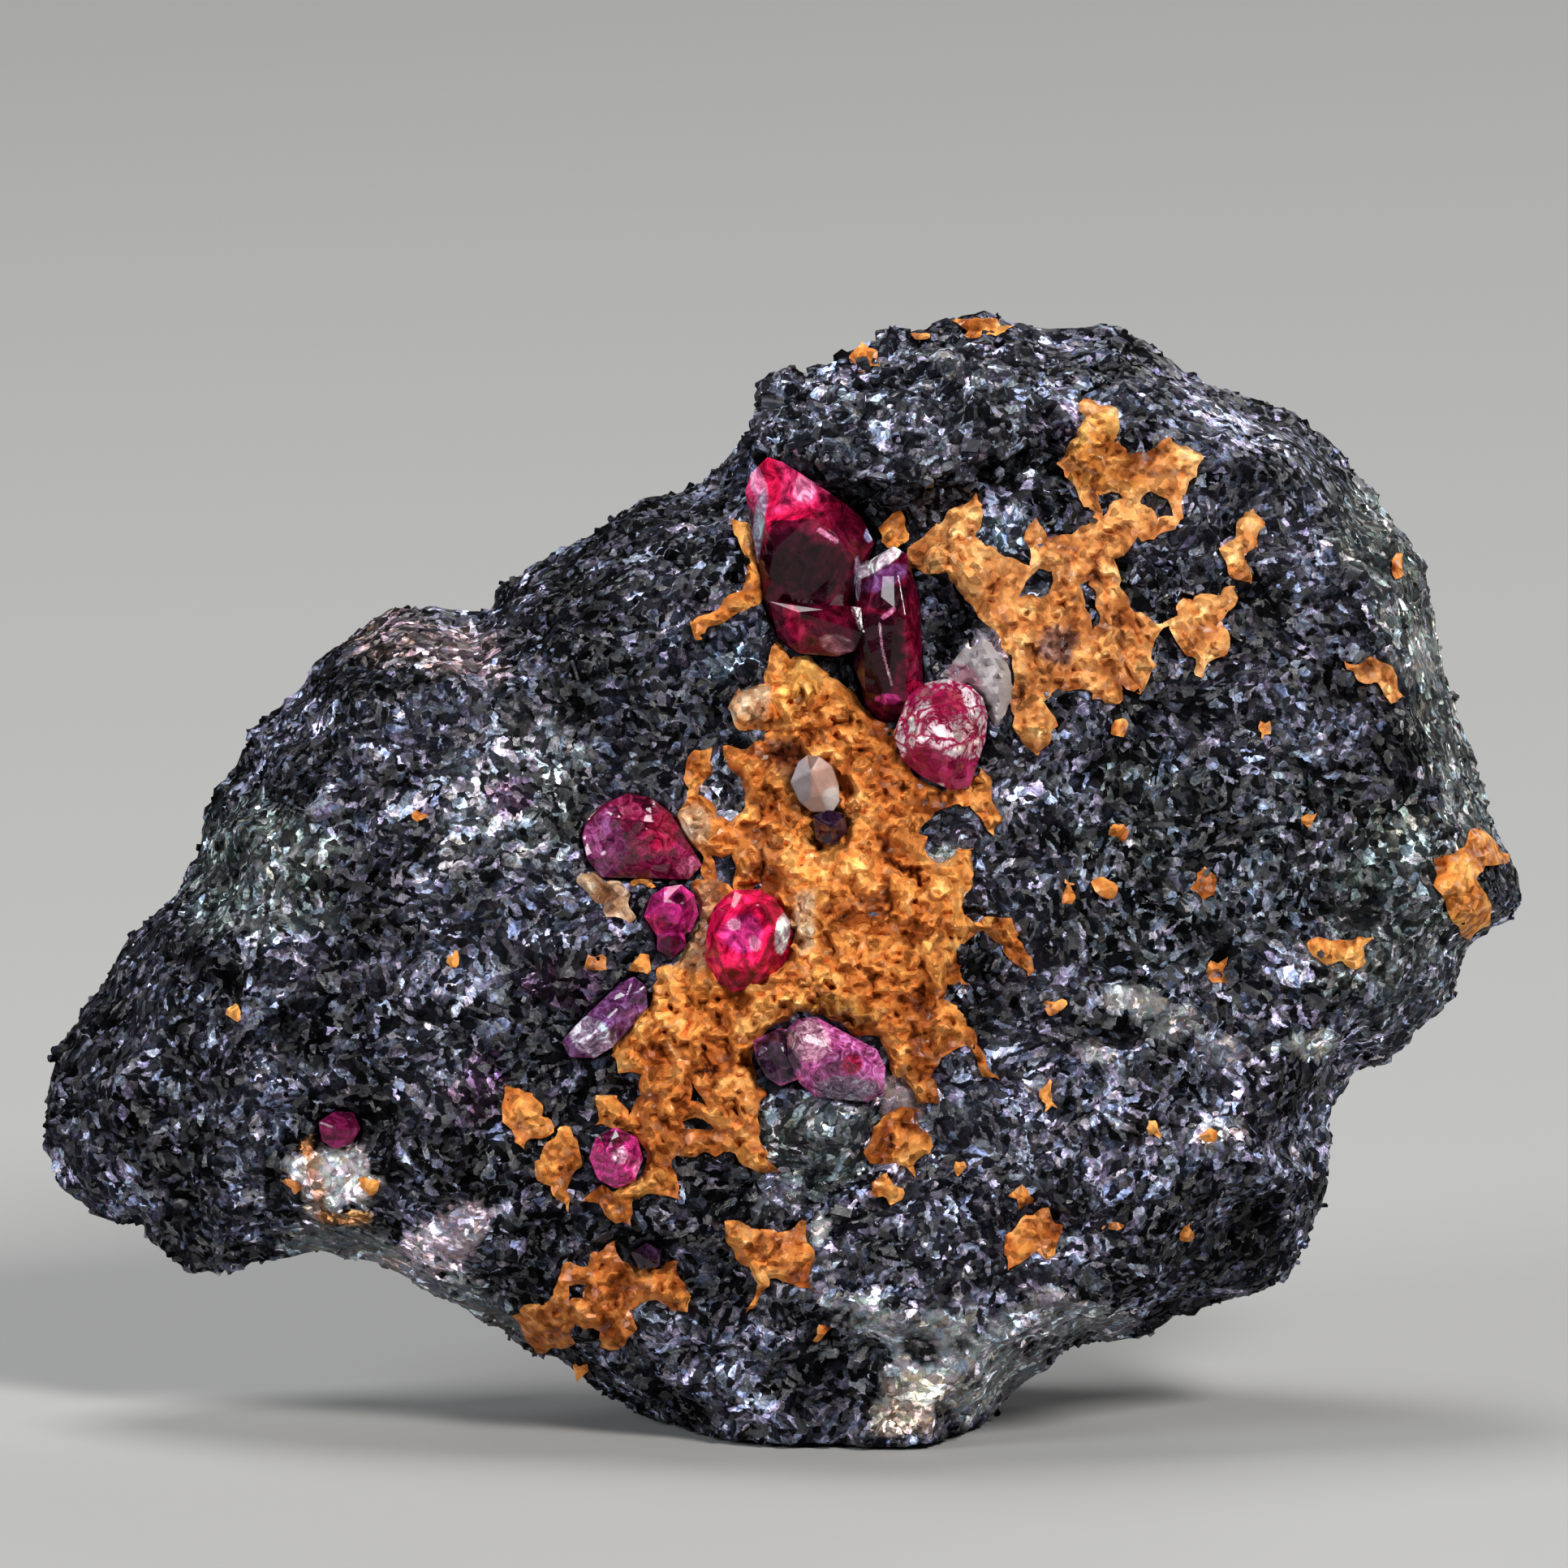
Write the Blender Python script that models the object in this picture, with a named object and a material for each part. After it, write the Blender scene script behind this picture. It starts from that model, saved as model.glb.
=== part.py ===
"""Ruby in matrix: a dark schist hand specimen with ruby crystals and patches of ochre crust.

The stone stands on a small flat foot with its broad face leaning slightly back.
Shapes are laid out on a grid over the broad face (column to the right, row downward) and a
height toward the front; the whole is then leaned back onto the foot.
Units are metres, +Z is up, the broad face looks toward -Y.
"""
import math
import random

import bmesh
import bpy
import numpy as np
from mathutils import Matrix, Vector, noise
from mathutils.bvhtree import BVHTree
from mathutils.geometry import delaunay_2d_cdt

MM = 0.001

# Overall size and stance
WIDTH = 0.080
GRID_COLUMNS = 1837.0
GRID_STEP = WIDTH / GRID_COLUMNS
MID_COLUMN = 968.5
FOOT_ROW = 1785.0
LEAN = math.radians(8.0)
FOOT_FRONT = 10.5 * MM
GAP = 0.3 * MM

# Thickness of the stone in front of and behind its rim
FRONT_BULGE = 14.0 * MM
FRONT_MIDDLE = (2.0 * MM, 26.0 * MM)
FRONT_FALL = (0.0062, 0.0040)
BACK_BULGE = 13.4 * MM
BACK_MIDDLE = (1.0 * MM, 16.0 * MM)
BACK_FALL = (0.0062, 0.0034)
RIM_BEVEL = 6.5 * MM
RIM_WANDER = 1.6 * MM
RIM_WANDER_WAVE = 9.0 * MM
SIDE_CHIP_SIZE = 6.5 * MM
SIDE_CHIP_DEPTH = 1.7 * MM
SIDE_CHIP_REACH = 1.6 * MM

# Mesh spacing
SKIN_SPACING = 0.72 * MM
RIM_RINGS = (0.10 * MM, 0.45 * MM, 1.0 * MM)
MATRIX_TRIANGLES = 4000
CRUST_SPACING = 1.35 * MM
CRUST_EDGE_SPACING = 1.25 * MM

# Relief of the broken rock: wavelength and height
FRONT_RELIEF = ((11.0 * MM, 1.1 * MM), (4.2 * MM, 0.55 * MM))
BACK_RELIEF = ((13.0 * MM, 1.6 * MM), (5.5 * MM, 0.8 * MM))
GRAIN_SIZE = 2.1 * MM
GRAIN_TILT = 0.30
GRAIN_STEP = 0.22 * MM

# Crust
CRUST_THICK = 0.95 * MM
CRUST_EDGE = 0.38 * MM
CRUST_BED = 0.45 * MM
BED_FADE = 0.9 * MM

# Rim of the stone on the grid, clockwise from the left end; the lower end runs below the foot, which is cut flat
RIM = [
    (50, 1380), (55, 1340), (62, 1300), (78, 1268), (100, 1245), (130, 1200), (160, 1150), (200, 1108),
    (235, 1065), (240, 1020), (255, 975), (290, 940), (300, 905), (330, 880), (360, 850), (385, 820),
    (395, 803), (430, 782), (460, 757), (500, 745), (550, 748), (596, 750), (612, 718), (650, 697),
    (685, 685), (705, 660), (750, 635), (790, 612), (830, 604), (870, 590), (905, 560), (915, 530),
    (935, 495), (970, 475), (1000, 455), (1040, 435), (1065, 420), (1110, 405), (1150, 395), (1190, 385),
    (1215, 378), (1245, 390), (1270, 398), (1330, 395), (1380, 400), (1410, 412), (1450, 440), (1500, 470),
    (1550, 490), (1600, 502), (1650, 540), (1690, 580), (1730, 640), (1765, 690), (1775, 730), (1780, 775),
    (1800, 830), (1815, 890), (1835, 950), (1850, 1010), (1870, 1050), (1880, 1090), (1887, 1112),
    (1870, 1135), (1845, 1145), (1830, 1165), (1805, 1180), (1798, 1210), (1795, 1230), (1770, 1255),
    (1740, 1290), (1725, 1300), (1690, 1312), (1665, 1335), (1650, 1360), (1638, 1375), (1643, 1400),
    (1642, 1440), (1635, 1475), (1622, 1510), (1610, 1530), (1600, 1555), (1590, 1580), (1560, 1595),
    (1520, 1610), (1480, 1618), (1450, 1620), (1410, 1645), (1395, 1650), (1340, 1662), (1300, 1680),
    (1255, 1712), (1232, 1738), (1220, 1758), (1208, 1775), (1200, 1900), (845, 1900), (828, 1782),
    (790, 1758), (750, 1730), (710, 1700), (690, 1690), (650, 1670), (620, 1650), (590, 1630), (560, 1612),
    (520, 1590), (480, 1572), (450, 1556), (420, 1548), (380, 1546), (340, 1552), (300, 1560), (260, 1572),
    (225, 1568), (200, 1550), (180, 1520), (150, 1510), (110, 1505), (95, 1480), (75, 1468), (62, 1440),
    (52, 1410),
]

# Parts of the rim with an edge of their own: column, row, reach, bevel width, how far the rim sits forward
RIM_ZONES = [
    (1620, 640, 9.0 * MM, 4.2 * MM, -4.0 * MM),
    (1800, 900, 9.0 * MM, 4.2 * MM, -4.5 * MM),
    (1860, 1110, 4.0 * MM, 1.5 * MM, 0.5 * MM),
    (1640, 1450, 8.0 * MM, 5.0 * MM, 1.0 * MM),
    (1230, 1700, 8.0 * MM, 2.6 * MM, 0.0 * MM),
    (800, 1740, 8.0 * MM, 2.8 * MM, 0.5 * MM),
    (450, 1580, 8.0 * MM, 4.0 * MM, 3.0 * MM),
    (80, 1420, 8.0 * MM, 6.0 * MM, -0.5 * MM),
    (240, 1030, 8.0 * MM, 6.5 * MM, -3.0 * MM),
    (500, 760, 8.0 * MM, 5.0 * MM, -1.0 * MM),
    (750, 640, 6.0 * MM, 5.0 * MM, 2.0 * MM),
    (950, 520, 6.0 * MM, 3.6 * MM, 1.0 * MM),
    (1200, 400, 8.0 * MM, 5.0 * MM, -2.5 * MM),
]

# Broken planes that clip the front: column, row, height there, fall per length to the right and upward
FRONT_PLANES = [
    (198, 1200, 8.4 * MM, 0.95, -0.10),
    (500, 860, 10.2 * MM, 0.30, -0.62),
    (1720, 900, 9.6 * MM, -0.60, -0.10),
    (1580, 1380, 10.6 * MM, -0.52, 0.42),
    (1215, 1690, 12.3 * MM, -0.16, 0.34),
    (1560, 560, 10.2 * MM, -0.30, -0.46),
    (520, 1500, 9.6 * MM, 0.22, 0.50),
    (760, 700, 11.2 * MM, 0.05, -0.48),
]
BACK_PLANES = [
    (500, 1200, 10.5 * MM, 0.40, -0.10),
    (1450, 900, 10.8 * MM, -0.42, -0.22),
    (950, 700, 10.2 * MM, 0.10, -0.55),
    (1350, 1420, 11.4 * MM, -0.36, 0.38),
    (640, 1480, 11.0 * MM, 0.26, 0.46),
    (1050, 1150, 12.6 * MM, 0.06, 0.10),
]

# Lumps and hollows of the front: column, row, half width, half height, rise, edge steepness
FRONT_LUMPS = [
    (1120, 520, 8.4 * MM, 4.9 * MM, 3.4 * MM, 3.0),
    (1010, 1400, 3.2 * MM, 2.3 * MM, 1.3 * MM, 1.6),
    (1040, 760, 5.2 * MM, 5.6 * MM, -1.9 * MM, 1.6),
    (1170, 770, 1.7 * MM, 3.2 * MM, -1.5 * MM, 1.5),
    (1210, 1178, 1.6 * MM, 1.8 * MM, -1.4 * MM, 1.5),
    (1540, 1540, 3.4 * MM, 2.4 * MM, -1.6 * MM, 1.4),
    (1073, 1665, 1.2 * MM, 1.2 * MM, -1.1 * MM, 1.4),
    (1133, 1658, 1.0 * MM, 1.1 * MM, -0.9 * MM, 1.4),
    (895, 975, 1.3 * MM, 1.5 * MM, -0.8 * MM, 1.4),
    (880, 790, 2.6 * MM, 2.4 * MM, -1.2 * MM, 1.5),
    (1060, 1150, 5.6 * MM, 7.0 * MM, 1.1 * MM, 1.3),
    (1320, 700, 6.0 * MM, 6.0 * MM, 0.7 * MM, 1.2),
    (330, 1170, 4.5 * MM, 5.5 * MM, 0.9 * MM, 1.2),
    (700, 1620, 4.2 * MM, 2.6 * MM, 0.9 * MM, 1.2),
    (1420, 1250, 3.4 * MM, 2.0 * MM, 0.8 * MM, 1.2),
    (740, 1350, 2.6 * MM, 1.4 * MM, -0.8 * MM, 1.4),
]

# Creases (sunk) and ridges (raised) of the front: points along them, half width, rise
FRONT_LINES = [
    ([(1045, 622), (1085, 640), (1135, 648), (1190, 610), (1245, 575), (1300, 540)], 1.0 * MM, -1.7 * MM),
    ([(200, 1120), (196, 1200), (180, 1270), (160, 1315), (120, 1380)], 1.0 * MM, 0.7 * MM),
    ([(240, 1060), (300, 1010), (380, 980)], 1.2 * MM, 0.6 * MM),
    ([(1400, 1600), (1300, 1590), (1180, 1610), (1060, 1650)], 1.0 * MM, 0.7 * MM),
    ([(1600, 1490), (1520, 1500), (1470, 1560)], 0.9 * MM, -1.0 * MM),
    ([(300, 1400), (420, 1490), (560, 1590)], 1.2 * MM, 0.7 * MM),
    ([(1450, 1000), (1560, 1100), (1640, 1240)], 1.4 * MM, 0.5 * MM),
]

# Ochre crust: outline of each patch on the grid, then its holes
CRUST_CENTRE = [
    (955, 784), (966, 800), (975, 815), (1000, 812), (1014, 824), (1032, 840), (1052, 854), (1066, 872),
    (1092, 890), (1106, 908), (1112, 932), (1120, 950), (1136, 964), (1155, 975), (1178, 976), (1196, 968),
    (1206, 946), (1220, 960), (1226, 985), (1230, 1012), (1224, 1030), (1206, 1016), (1196, 992), (1172, 992),
    (1150, 1006), (1134, 1022), (1142, 1046), (1160, 1058), (1180, 1048), (1198, 1048), (1194, 1076),
    (1196, 1090), (1184, 1114), (1196, 1136), (1216, 1134), (1242, 1130), (1250, 1158), (1278, 1194),
    (1264, 1198), (1238, 1168), (1226, 1150), (1196, 1150), (1182, 1172), (1180, 1196), (1194, 1216),
    (1172, 1212), (1162, 1232), (1194, 1260), (1206, 1284), (1226, 1330), (1208, 1322), (1192, 1286),
    (1156, 1302), (1146, 1324), (1156, 1350), (1134, 1356), (1112, 1326), (1092, 1310), (1080, 1278),
    (1050, 1270), (1020, 1248), (984, 1246), (958, 1262), (932, 1278), (926, 1300), (932, 1330), (946, 1350),
    (932, 1374), (936, 1404), (956, 1444), (932, 1436), (904, 1424), (872, 1418), (836, 1424), (828, 1440),
    (840, 1478), (814, 1466), (794, 1468), (780, 1474), (776, 1512), (752, 1500), (738, 1480), (722, 1474),
    (740, 1460), (766, 1462), (790, 1444), (794, 1420), (782, 1394), (758, 1384), (734, 1388), (742, 1368),
    (736, 1350), (762, 1348), (776, 1372), (790, 1352), (790, 1324), (762, 1314), (748, 1296), (766, 1270),
    (782, 1250), (804, 1240), (800, 1214), (818, 1194), (838, 1180), (848, 1156), (866, 1136), (864, 1106),
    (846, 1088), (868, 1078), (862, 1056), (842, 1034), (834, 1006), (848, 978), (842, 946), (856, 922),
    (876, 922), (880, 948), (866, 976), (878, 1000), (906, 1014), (922, 992), (916, 966), (900, 946),
    (892, 922), (912, 920), (934, 914), (946, 900), (912, 896), (896, 876), (908, 848), (938, 846),
    (948, 816),
]
CRUST_CENTRE_HOLES = [
    [(880, 1056), (902, 1052), (910, 1070), (902, 1092), (886, 1082)],
    [(852, 1332), (870, 1352), (868, 1362), (852, 1350)],
    [(842, 1378), (862, 1376), (878, 1388), (850, 1392)],
]
CRUST_UPPER = [
    (1122, 680), (1143, 655), (1150, 644), (1180, 630), (1203, 606), (1206, 630), (1202, 662), (1228, 680),
    (1262, 694), (1262, 664), (1274, 640), (1290, 662), (1306, 664), (1332, 648), (1350, 634), (1334, 624),
    (1318, 592), (1296, 570), (1320, 544), (1336, 528), (1330, 500), (1354, 490), (1378, 506), (1380, 548),
    (1392, 560), (1418, 554), (1442, 540), (1466, 556), (1486, 566), (1470, 582), (1456, 620), (1450, 648),
    (1424, 668), (1396, 666), (1374, 692), (1374, 720), (1398, 752), (1426, 768), (1446, 764), (1456, 736),
    (1490, 734), (1520, 720), (1524, 736), (1506, 764), (1510, 800), (1480, 834), (1462, 812), (1448, 790),
    (1440, 774), (1420, 790), (1424, 822), (1406, 858), (1380, 842), (1380, 860), (1360, 872), (1340, 850),
    (1300, 850), (1288, 868), (1300, 894), (1290, 918), (1278, 933), (1256, 912), (1240, 876), (1250, 840),
    (1242, 808), (1228, 784), (1204, 764), (1184, 740), (1172, 716), (1140, 710), (1122, 706),
]
CRUST_UPPER_HOLES = [
    [(1404, 614), (1420, 610), (1438, 620), (1442, 634), (1424, 640), (1410, 630)],
    [(1258, 738), (1262, 720), (1274, 704), (1290, 702), (1294, 718), (1276, 736)],
    [(1326, 718), (1340, 716), (1354, 768), (1346, 776), (1334, 752)],
    [(1350, 606), (1382, 612), (1364, 624), (1358, 638)],
]
CRUST_STRAND = [
    (896, 642), (916, 644), (928, 664), (938, 696), (944, 736), (924, 752), (890, 770), (856, 788), (848, 772),
    (884, 752), (912, 728), (922, 706), (912, 676),
]
CRUST_BRANCH = [
    (1530, 630), (1544, 626), (1558, 654), (1546, 672), (1530, 690), (1546, 716), (1530, 722), (1508, 696),
    (1502, 676), (1520, 666),
]
CRUST_FAR_RIGHT = [
    (1765, 1055), (1792, 1052), (1808, 1028), (1824, 1019), (1850, 1040), (1868, 1052), (1856, 1068), (1830, 1066),
    (1826, 1084), (1846, 1120), (1838, 1138), (1814, 1162), (1798, 1152), (1786, 1124), (1768, 1094),
]
CRUST_RIGHT = [
    (1654, 814), (1672, 820), (1688, 810), (1716, 824), (1724, 860), (1710, 866), (1696, 842), (1668, 838),
]
CRUST_LOWER_RIGHT = [
    (1086, 1372), (1108, 1366), (1132, 1364), (1130, 1388), (1150, 1406), (1134, 1420), (1122, 1446),
    (1100, 1428), (1078, 1436), (1064, 1414), (1076, 1392),
]
CRUST_CROSS = [
    (1264, 1492), (1288, 1490), (1306, 1526), (1302, 1548), (1270, 1542), (1240, 1562), (1240, 1522),
]
CRUST_LOBE = [
    (620, 1342), (642, 1335), (662, 1354), (684, 1394), (656, 1402), (646, 1416), (628, 1388),
]
CRUST_LOW_LOBE = [
    (684, 1398), (700, 1384), (716, 1402), (712, 1436), (700, 1458), (704, 1490), (684, 1474), (666, 1452),
    (660, 1434), (674, 1416),
]
CRUST_LOWER_LEFT = [
    (632, 1625), (650, 1610), (682, 1596), (690, 1560), (706, 1552), (722, 1556), (734, 1540), (756, 1527),
    (770, 1550), (794, 1562), (836, 1550), (832, 1566), (854, 1596), (842, 1616), (806, 1602), (778, 1612),
    (782, 1636), (764, 1664), (740, 1664), (740, 1640), (706, 1632), (706, 1658), (682, 1662), (662, 1675),
    (642, 1646),
]
CRUST_LOWER_LEFT_HOLES = [[(702, 1580), (720, 1582), (718, 1602), (702, 1600)]]
CRUST_LOWER_MIDDLE = [
    (894, 1508), (914, 1500), (934, 1512), (962, 1512), (992, 1504), (1006, 1548), (992, 1562), (1010, 1594),
    (984, 1584), (952, 1572), (942, 1594), (918, 1616), (930, 1586), (930, 1562), (904, 1548),
]
CRUST_PALE = [
    (706, 1086), (716, 1070), (746, 1084), (764, 1088), (790, 1130), (774, 1134), (748, 1126), (728, 1102),
]
CRUSTS = {
    "crust_centre": (CRUST_CENTRE, CRUST_CENTRE_HOLES, 1.35),
    "crust_upper": (CRUST_UPPER, CRUST_UPPER_HOLES, 1.0),
    "crust_strand": (CRUST_STRAND, [], 0.9),
    "crust_branch": (CRUST_BRANCH, [], 0.8),
    "crust_far_right": (CRUST_FAR_RIGHT, [], 0.8),
    "crust_right": (CRUST_RIGHT, [], 0.8),
    "crust_lower_right": (CRUST_LOWER_RIGHT, [], 0.9),
    "crust_cross": (CRUST_CROSS, [], 0.8),
    "crust_lobe": (CRUST_LOBE, [], 0.9),
    "crust_low_lobe": (CRUST_LOW_LOBE, [], 0.9),
    "crust_lower_left": (CRUST_LOWER_LEFT, CRUST_LOWER_LEFT_HOLES, 0.9),
    "crust_lower_middle": (CRUST_LOWER_MIDDLE, [], 0.9),
    "crust_pale": (CRUST_PALE, [], 0.8),
}

# Crystals: corners on the grid with their height over the rock in mm; each crystal is the hull of its corners
# and of a root, its outline drawn in by ROOT_SCALE at ROOT_DEPTH
ROOT_SCALE = 0.72
ROOT_DEPTH = 2.0 * MM
TIP_CRYSTAL = [
    (948, 569, 1.4), (928, 588, 0.9), (966, 575, 1.9), (1000, 597, 1.9), (921, 610, 0.8), (945, 640, 2.7),
    (1000, 640, 3.1), (1036, 621, 1.2), (1060, 640, 0.7), (1076, 672, 0.9), (1030, 662, 2.9), (1056, 700, 2.3),
    (1050, 745, 1.8), (1015, 756, 2.2), (985, 762, 2.2), (945, 742, 1.3), (937, 702, 0.9), (955, 680, 2.8),
    (975, 800, 0.3), (958, 780, 0.3),
]
RIGHT_CRYSTAL = [
    (1055, 702, 1.8), (1080, 690, 2.8), (1098, 676, 3.0), (1115, 686, 2.7), (1119, 715, 2.4), (1058, 742, 2.0),
    (1062, 776, 2.8), (1100, 757, 3.3), (1113, 760, 3.2), (1131, 745, 1.3), (1134, 855, 1.1), (1113, 862, 2.8),
    (1090, 858, 3.0), (1065, 850, 2.0), (1051, 820, 0.9), (1050, 790, 0.9), (1100, 891, 0.7), (1084, 886, 0.7),
    (1067, 868, 0.7),
]
LOWER_CRYSTAL = [
    (950, 742, 1.2), (985, 755, 2.1), (1015, 752, 2.3), (1050, 748, 2.2), (1100, 757, 2.2), (1062, 780, 2.6),
    (1050, 802, 2.0), (1030, 808, 1.2), (1003, 802, 1.0), (985, 804, 0.6), (960, 784, 0.5),
]
SPECKLED = [
    (1120, 860, 0.5), (1140, 845, 0.6), (1165, 840, 0.8), (1192, 848, 0.7), (1207, 862, 0.5), (1213, 882, 0.5),
    (1210, 912, 0.6), (1196, 938, 0.5), (1192, 966, 0.4), (1170, 970, 0.4), (1138, 955, 0.3), (1114, 936, 0.3),
    (1103, 905, 0.4), (1135, 880, 2.0), (1165, 868, 2.2), (1190, 890, 2.1), (1178, 925, 2.3), (1130, 915, 2.1),
]
EMBEDDED = [
    (745, 994, 0.3), (775, 980, 0.3), (802, 985, 0.4), (826, 1004, 0.4), (838, 1036, 0.4), (862, 1064, 0.3),
    (846, 1081, 0.2), (800, 1072, 0.3), (745, 1078, 0.2), (728, 1058, 0.2), (722, 1032, 0.2), (728, 1010, 0.3),
    (760, 1010, 1.3), (805, 1015, 1.5), (808, 1052, 1.2), (758, 1052, 1.1),
]
SMALL_ROUND = [
    (805, 1105, 0.9), (820, 1095, 1.0), (840, 1092, 1.0), (854, 1104, 0.9), (859, 1126, 0.9), (850, 1146, 0.8),
    (812, 1150, 0.8), (797, 1128, 0.8), (820, 1112, 1.9), (842, 1114, 1.9), (836, 1136, 1.8), (814, 1134, 1.7),
]
SMALL_LOBE = [
    (812, 1144, 0.8), (843, 1146, 0.8), (845, 1162, 0.6), (828, 1176, 0.6), (812, 1166, 0.6), (828, 1152, 1.3),
]
BRIGHT = [
    (893, 1108, 0.9), (906, 1099, 0.9), (935, 1098, 1.0), (952, 1108, 1.1), (972, 1136, 1.3), (977, 1160, 1.2),
    (968, 1184, 1.1), (950, 1204, 0.9), (905, 1217, 0.8), (888, 1206, 0.8), (872, 1180, 0.8), (874, 1148, 0.9),
    (882, 1120, 0.9), (900, 1122, 2.3), (938, 1118, 2.5), (950, 1150, 2.7), (934, 1186, 2.6), (894, 1188, 2.2),
    (884, 1152, 2.2),
]
PINK = [
    (972, 1266, 0.8), (985, 1255, 0.9), (1006, 1253, 0.9), (1026, 1265, 0.9), (1052, 1280, 0.8), (1076, 1291, 0.7),
    (1086, 1312, 0.6), (1084, 1342, 0.5), (1066, 1352, 0.4), (1004, 1346, 0.4), (986, 1330, 0.6), (972, 1300, 0.8),
    (990, 1280, 2.0), (1020, 1290, 2.1), (1056, 1310, 1.6), (1040, 1332, 1.5), (1004, 1318, 1.8),
]
PINK_DARK = [
    (932, 1281, 0.5), (962, 1266, 0.7), (986, 1270, 0.9), (990, 1300, 0.9), (984, 1326, 0.6), (964, 1334, 0.4),
    (948, 1324, 0.4), (935, 1302, 0.4), (962, 1284, 1.5), (974, 1306, 1.4),
]
FLAT = [
    (765, 1212, 0.3), (780, 1205, 0.4), (794, 1216, 0.4), (796, 1240, 0.3), (776, 1264, 0.3), (756, 1286, 0.2),
    (735, 1299, 0.2), (706, 1298, 0.2), (697, 1280, 0.2), (714, 1260, 0.3), (740, 1240, 0.3),
    (770, 1232, 1.0), (752, 1262, 1.0), (722, 1282, 0.8),
]
LOW = [
    (738, 1400, 0.6), (760, 1389, 0.7), (784, 1400, 0.7), (791, 1425, 0.6), (781, 1450, 0.5), (760, 1458, 0.5),
    (740, 1448, 0.5), (730, 1424, 0.5), (750, 1412, 1.5), (772, 1414, 1.6), (766, 1438, 1.4),
]
DARK_SMALL = [
    (1003, 1006, 1.6), (1020, 999, 1.7), (1040, 1004, 1.7), (1042, 1024, 1.5), (1024, 1042, 1.3), (1006, 1032, 1.4),
    (1022, 1018, 2.4),
]
FAR_LEFT = [
    (397, 1382, 0.3), (415, 1370, 0.3), (436, 1372, 0.3), (443, 1390, 0.3), (432, 1407, 0.2), (414, 1412, 0.2),
    (400, 1402, 0.2), (420, 1390, 0.9),
]
LOW_DARK = [
    (780, 1540, 0.5), (798, 1530, 0.5), (814, 1538, 0.5), (812, 1556, 0.4), (790, 1560, 0.4), (798, 1546, 1.1),
]
FLAKE = [
    (985, 941, 2.0), (996, 933, 2.0), (1010, 935, 2.0), (1024, 946, 1.9), (1031, 966, 1.8), (1032, 986, 1.7),
    (1024, 998, 1.6), (1000, 998, 1.6), (986, 986, 1.7), (976, 964, 1.9), (1000, 952, 2.3), (1012, 980, 2.0),
]
GEMS = {
    "ruby_cluster": ([TIP_CRYSTAL, RIGHT_CRYSTAL, LOWER_CRYSTAL], "ruby"),
    "ruby_speckled": ([SPECKLED], "ruby"),
    "ruby_embedded": ([EMBEDDED], "ruby"),
    "ruby_small_round": ([SMALL_ROUND, SMALL_LOBE], "ruby"),
    "ruby_bright": ([BRIGHT], "ruby"),
    "ruby_pink": ([PINK, PINK_DARK], "ruby"),
    "ruby_flat": ([FLAT], "ruby"),
    "ruby_low": ([LOW], "ruby"),
    "ruby_dark_small": ([DARK_SMALL], "ruby"),
    "ruby_far_left": ([FAR_LEFT], "ruby"),
    "ruby_low_dark": ([LOW_DARK], "ruby"),
    "feldspar_flake": ([FLAKE], "feldspar"),
}

# Dark crystals grown out of the rock: areas on the grid (column, row, reach in columns and rows), how many,
# length range in mm
DARK_AREAS = [
    (1110, 520, 170, 95, 30, (1.8, 3.4)),
    (890, 700, 45, 60, 5, (1.6, 2.6)),
    (895, 810, 50, 35, 4, (1.8, 3.0)),
    (1165, 770, 26, 60, 4, (1.4, 2.4)),
    (1215, 1180, 28, 35, 3, (1.2, 2.0)),
    (960, 1500, 60, 60, 4, (1.4, 2.4)),
    (880, 1490, 60, 60, 4, (1.4, 2.4)),
    (1430, 710, 45, 35, 3, (1.2, 2.0)),
    (1230, 655, 35, 22, 3, (1.6, 2.4)),
    (1500, 980, 200, 220, 9, (1.2, 2.2)),
    (420, 1180, 220, 180, 7, (1.2, 2.2)),
    (1400, 1480, 160, 90, 6, (1.4, 2.4)),
    (640, 850, 160, 90, 4, (1.2, 2.2)),
]
SEED = 1207


def on_face(column, row):
    """Grid position to metres on the broad face: right of the middle, and up from the foot row."""
    return ((column - MID_COLUMN) * GRID_STEP, (FOOT_ROW - row) * GRID_STEP)


def outline_on_face(outline):
    return np.array([on_face(c, r) for c, r in outline])


def distance_to_loop(points, loop):
    """Distance from each point to a closed outline."""
    best = np.full(len(points), np.inf)
    for a, b in zip(loop, np.roll(loop, -1, axis=0)):
        along = b - a
        t = np.clip(((points - a) @ along) / max(along @ along, 1e-18), 0.0, 1.0)
        gap = points - (a + t[:, None] * along)
        best = np.minimum(best, np.hypot(gap[:, 0], gap[:, 1]))
    return best


def distance_to_line(points, line):
    """Distance from each point to an open run of straight pieces."""
    best = np.full(len(points), np.inf)
    for a, b in zip(line[:-1], line[1:]):
        along = b - a
        t = np.clip(((points - a) @ along) / (along @ along), 0.0, 1.0)
        gap = points - (a + t[:, None] * along)
        best = np.minimum(best, np.hypot(gap[:, 0], gap[:, 1]))
    return best


def inside_loop(points, loop):
    """True for the points inside a closed outline."""
    inside = np.zeros(len(points), dtype=bool)
    for a, b in zip(loop, np.roll(loop, -1, axis=0)):
        crosses = (a[1] > points[:, 1]) != (b[1] > points[:, 1])
        rise = b[1] - a[1] if abs(b[1] - a[1]) > 1e-15 else 1e-15
        at = a[0] + (points[:, 1] - a[1]) / rise * (b[0] - a[0])
        inside ^= crosses & (points[:, 0] < at)
    return inside


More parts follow.
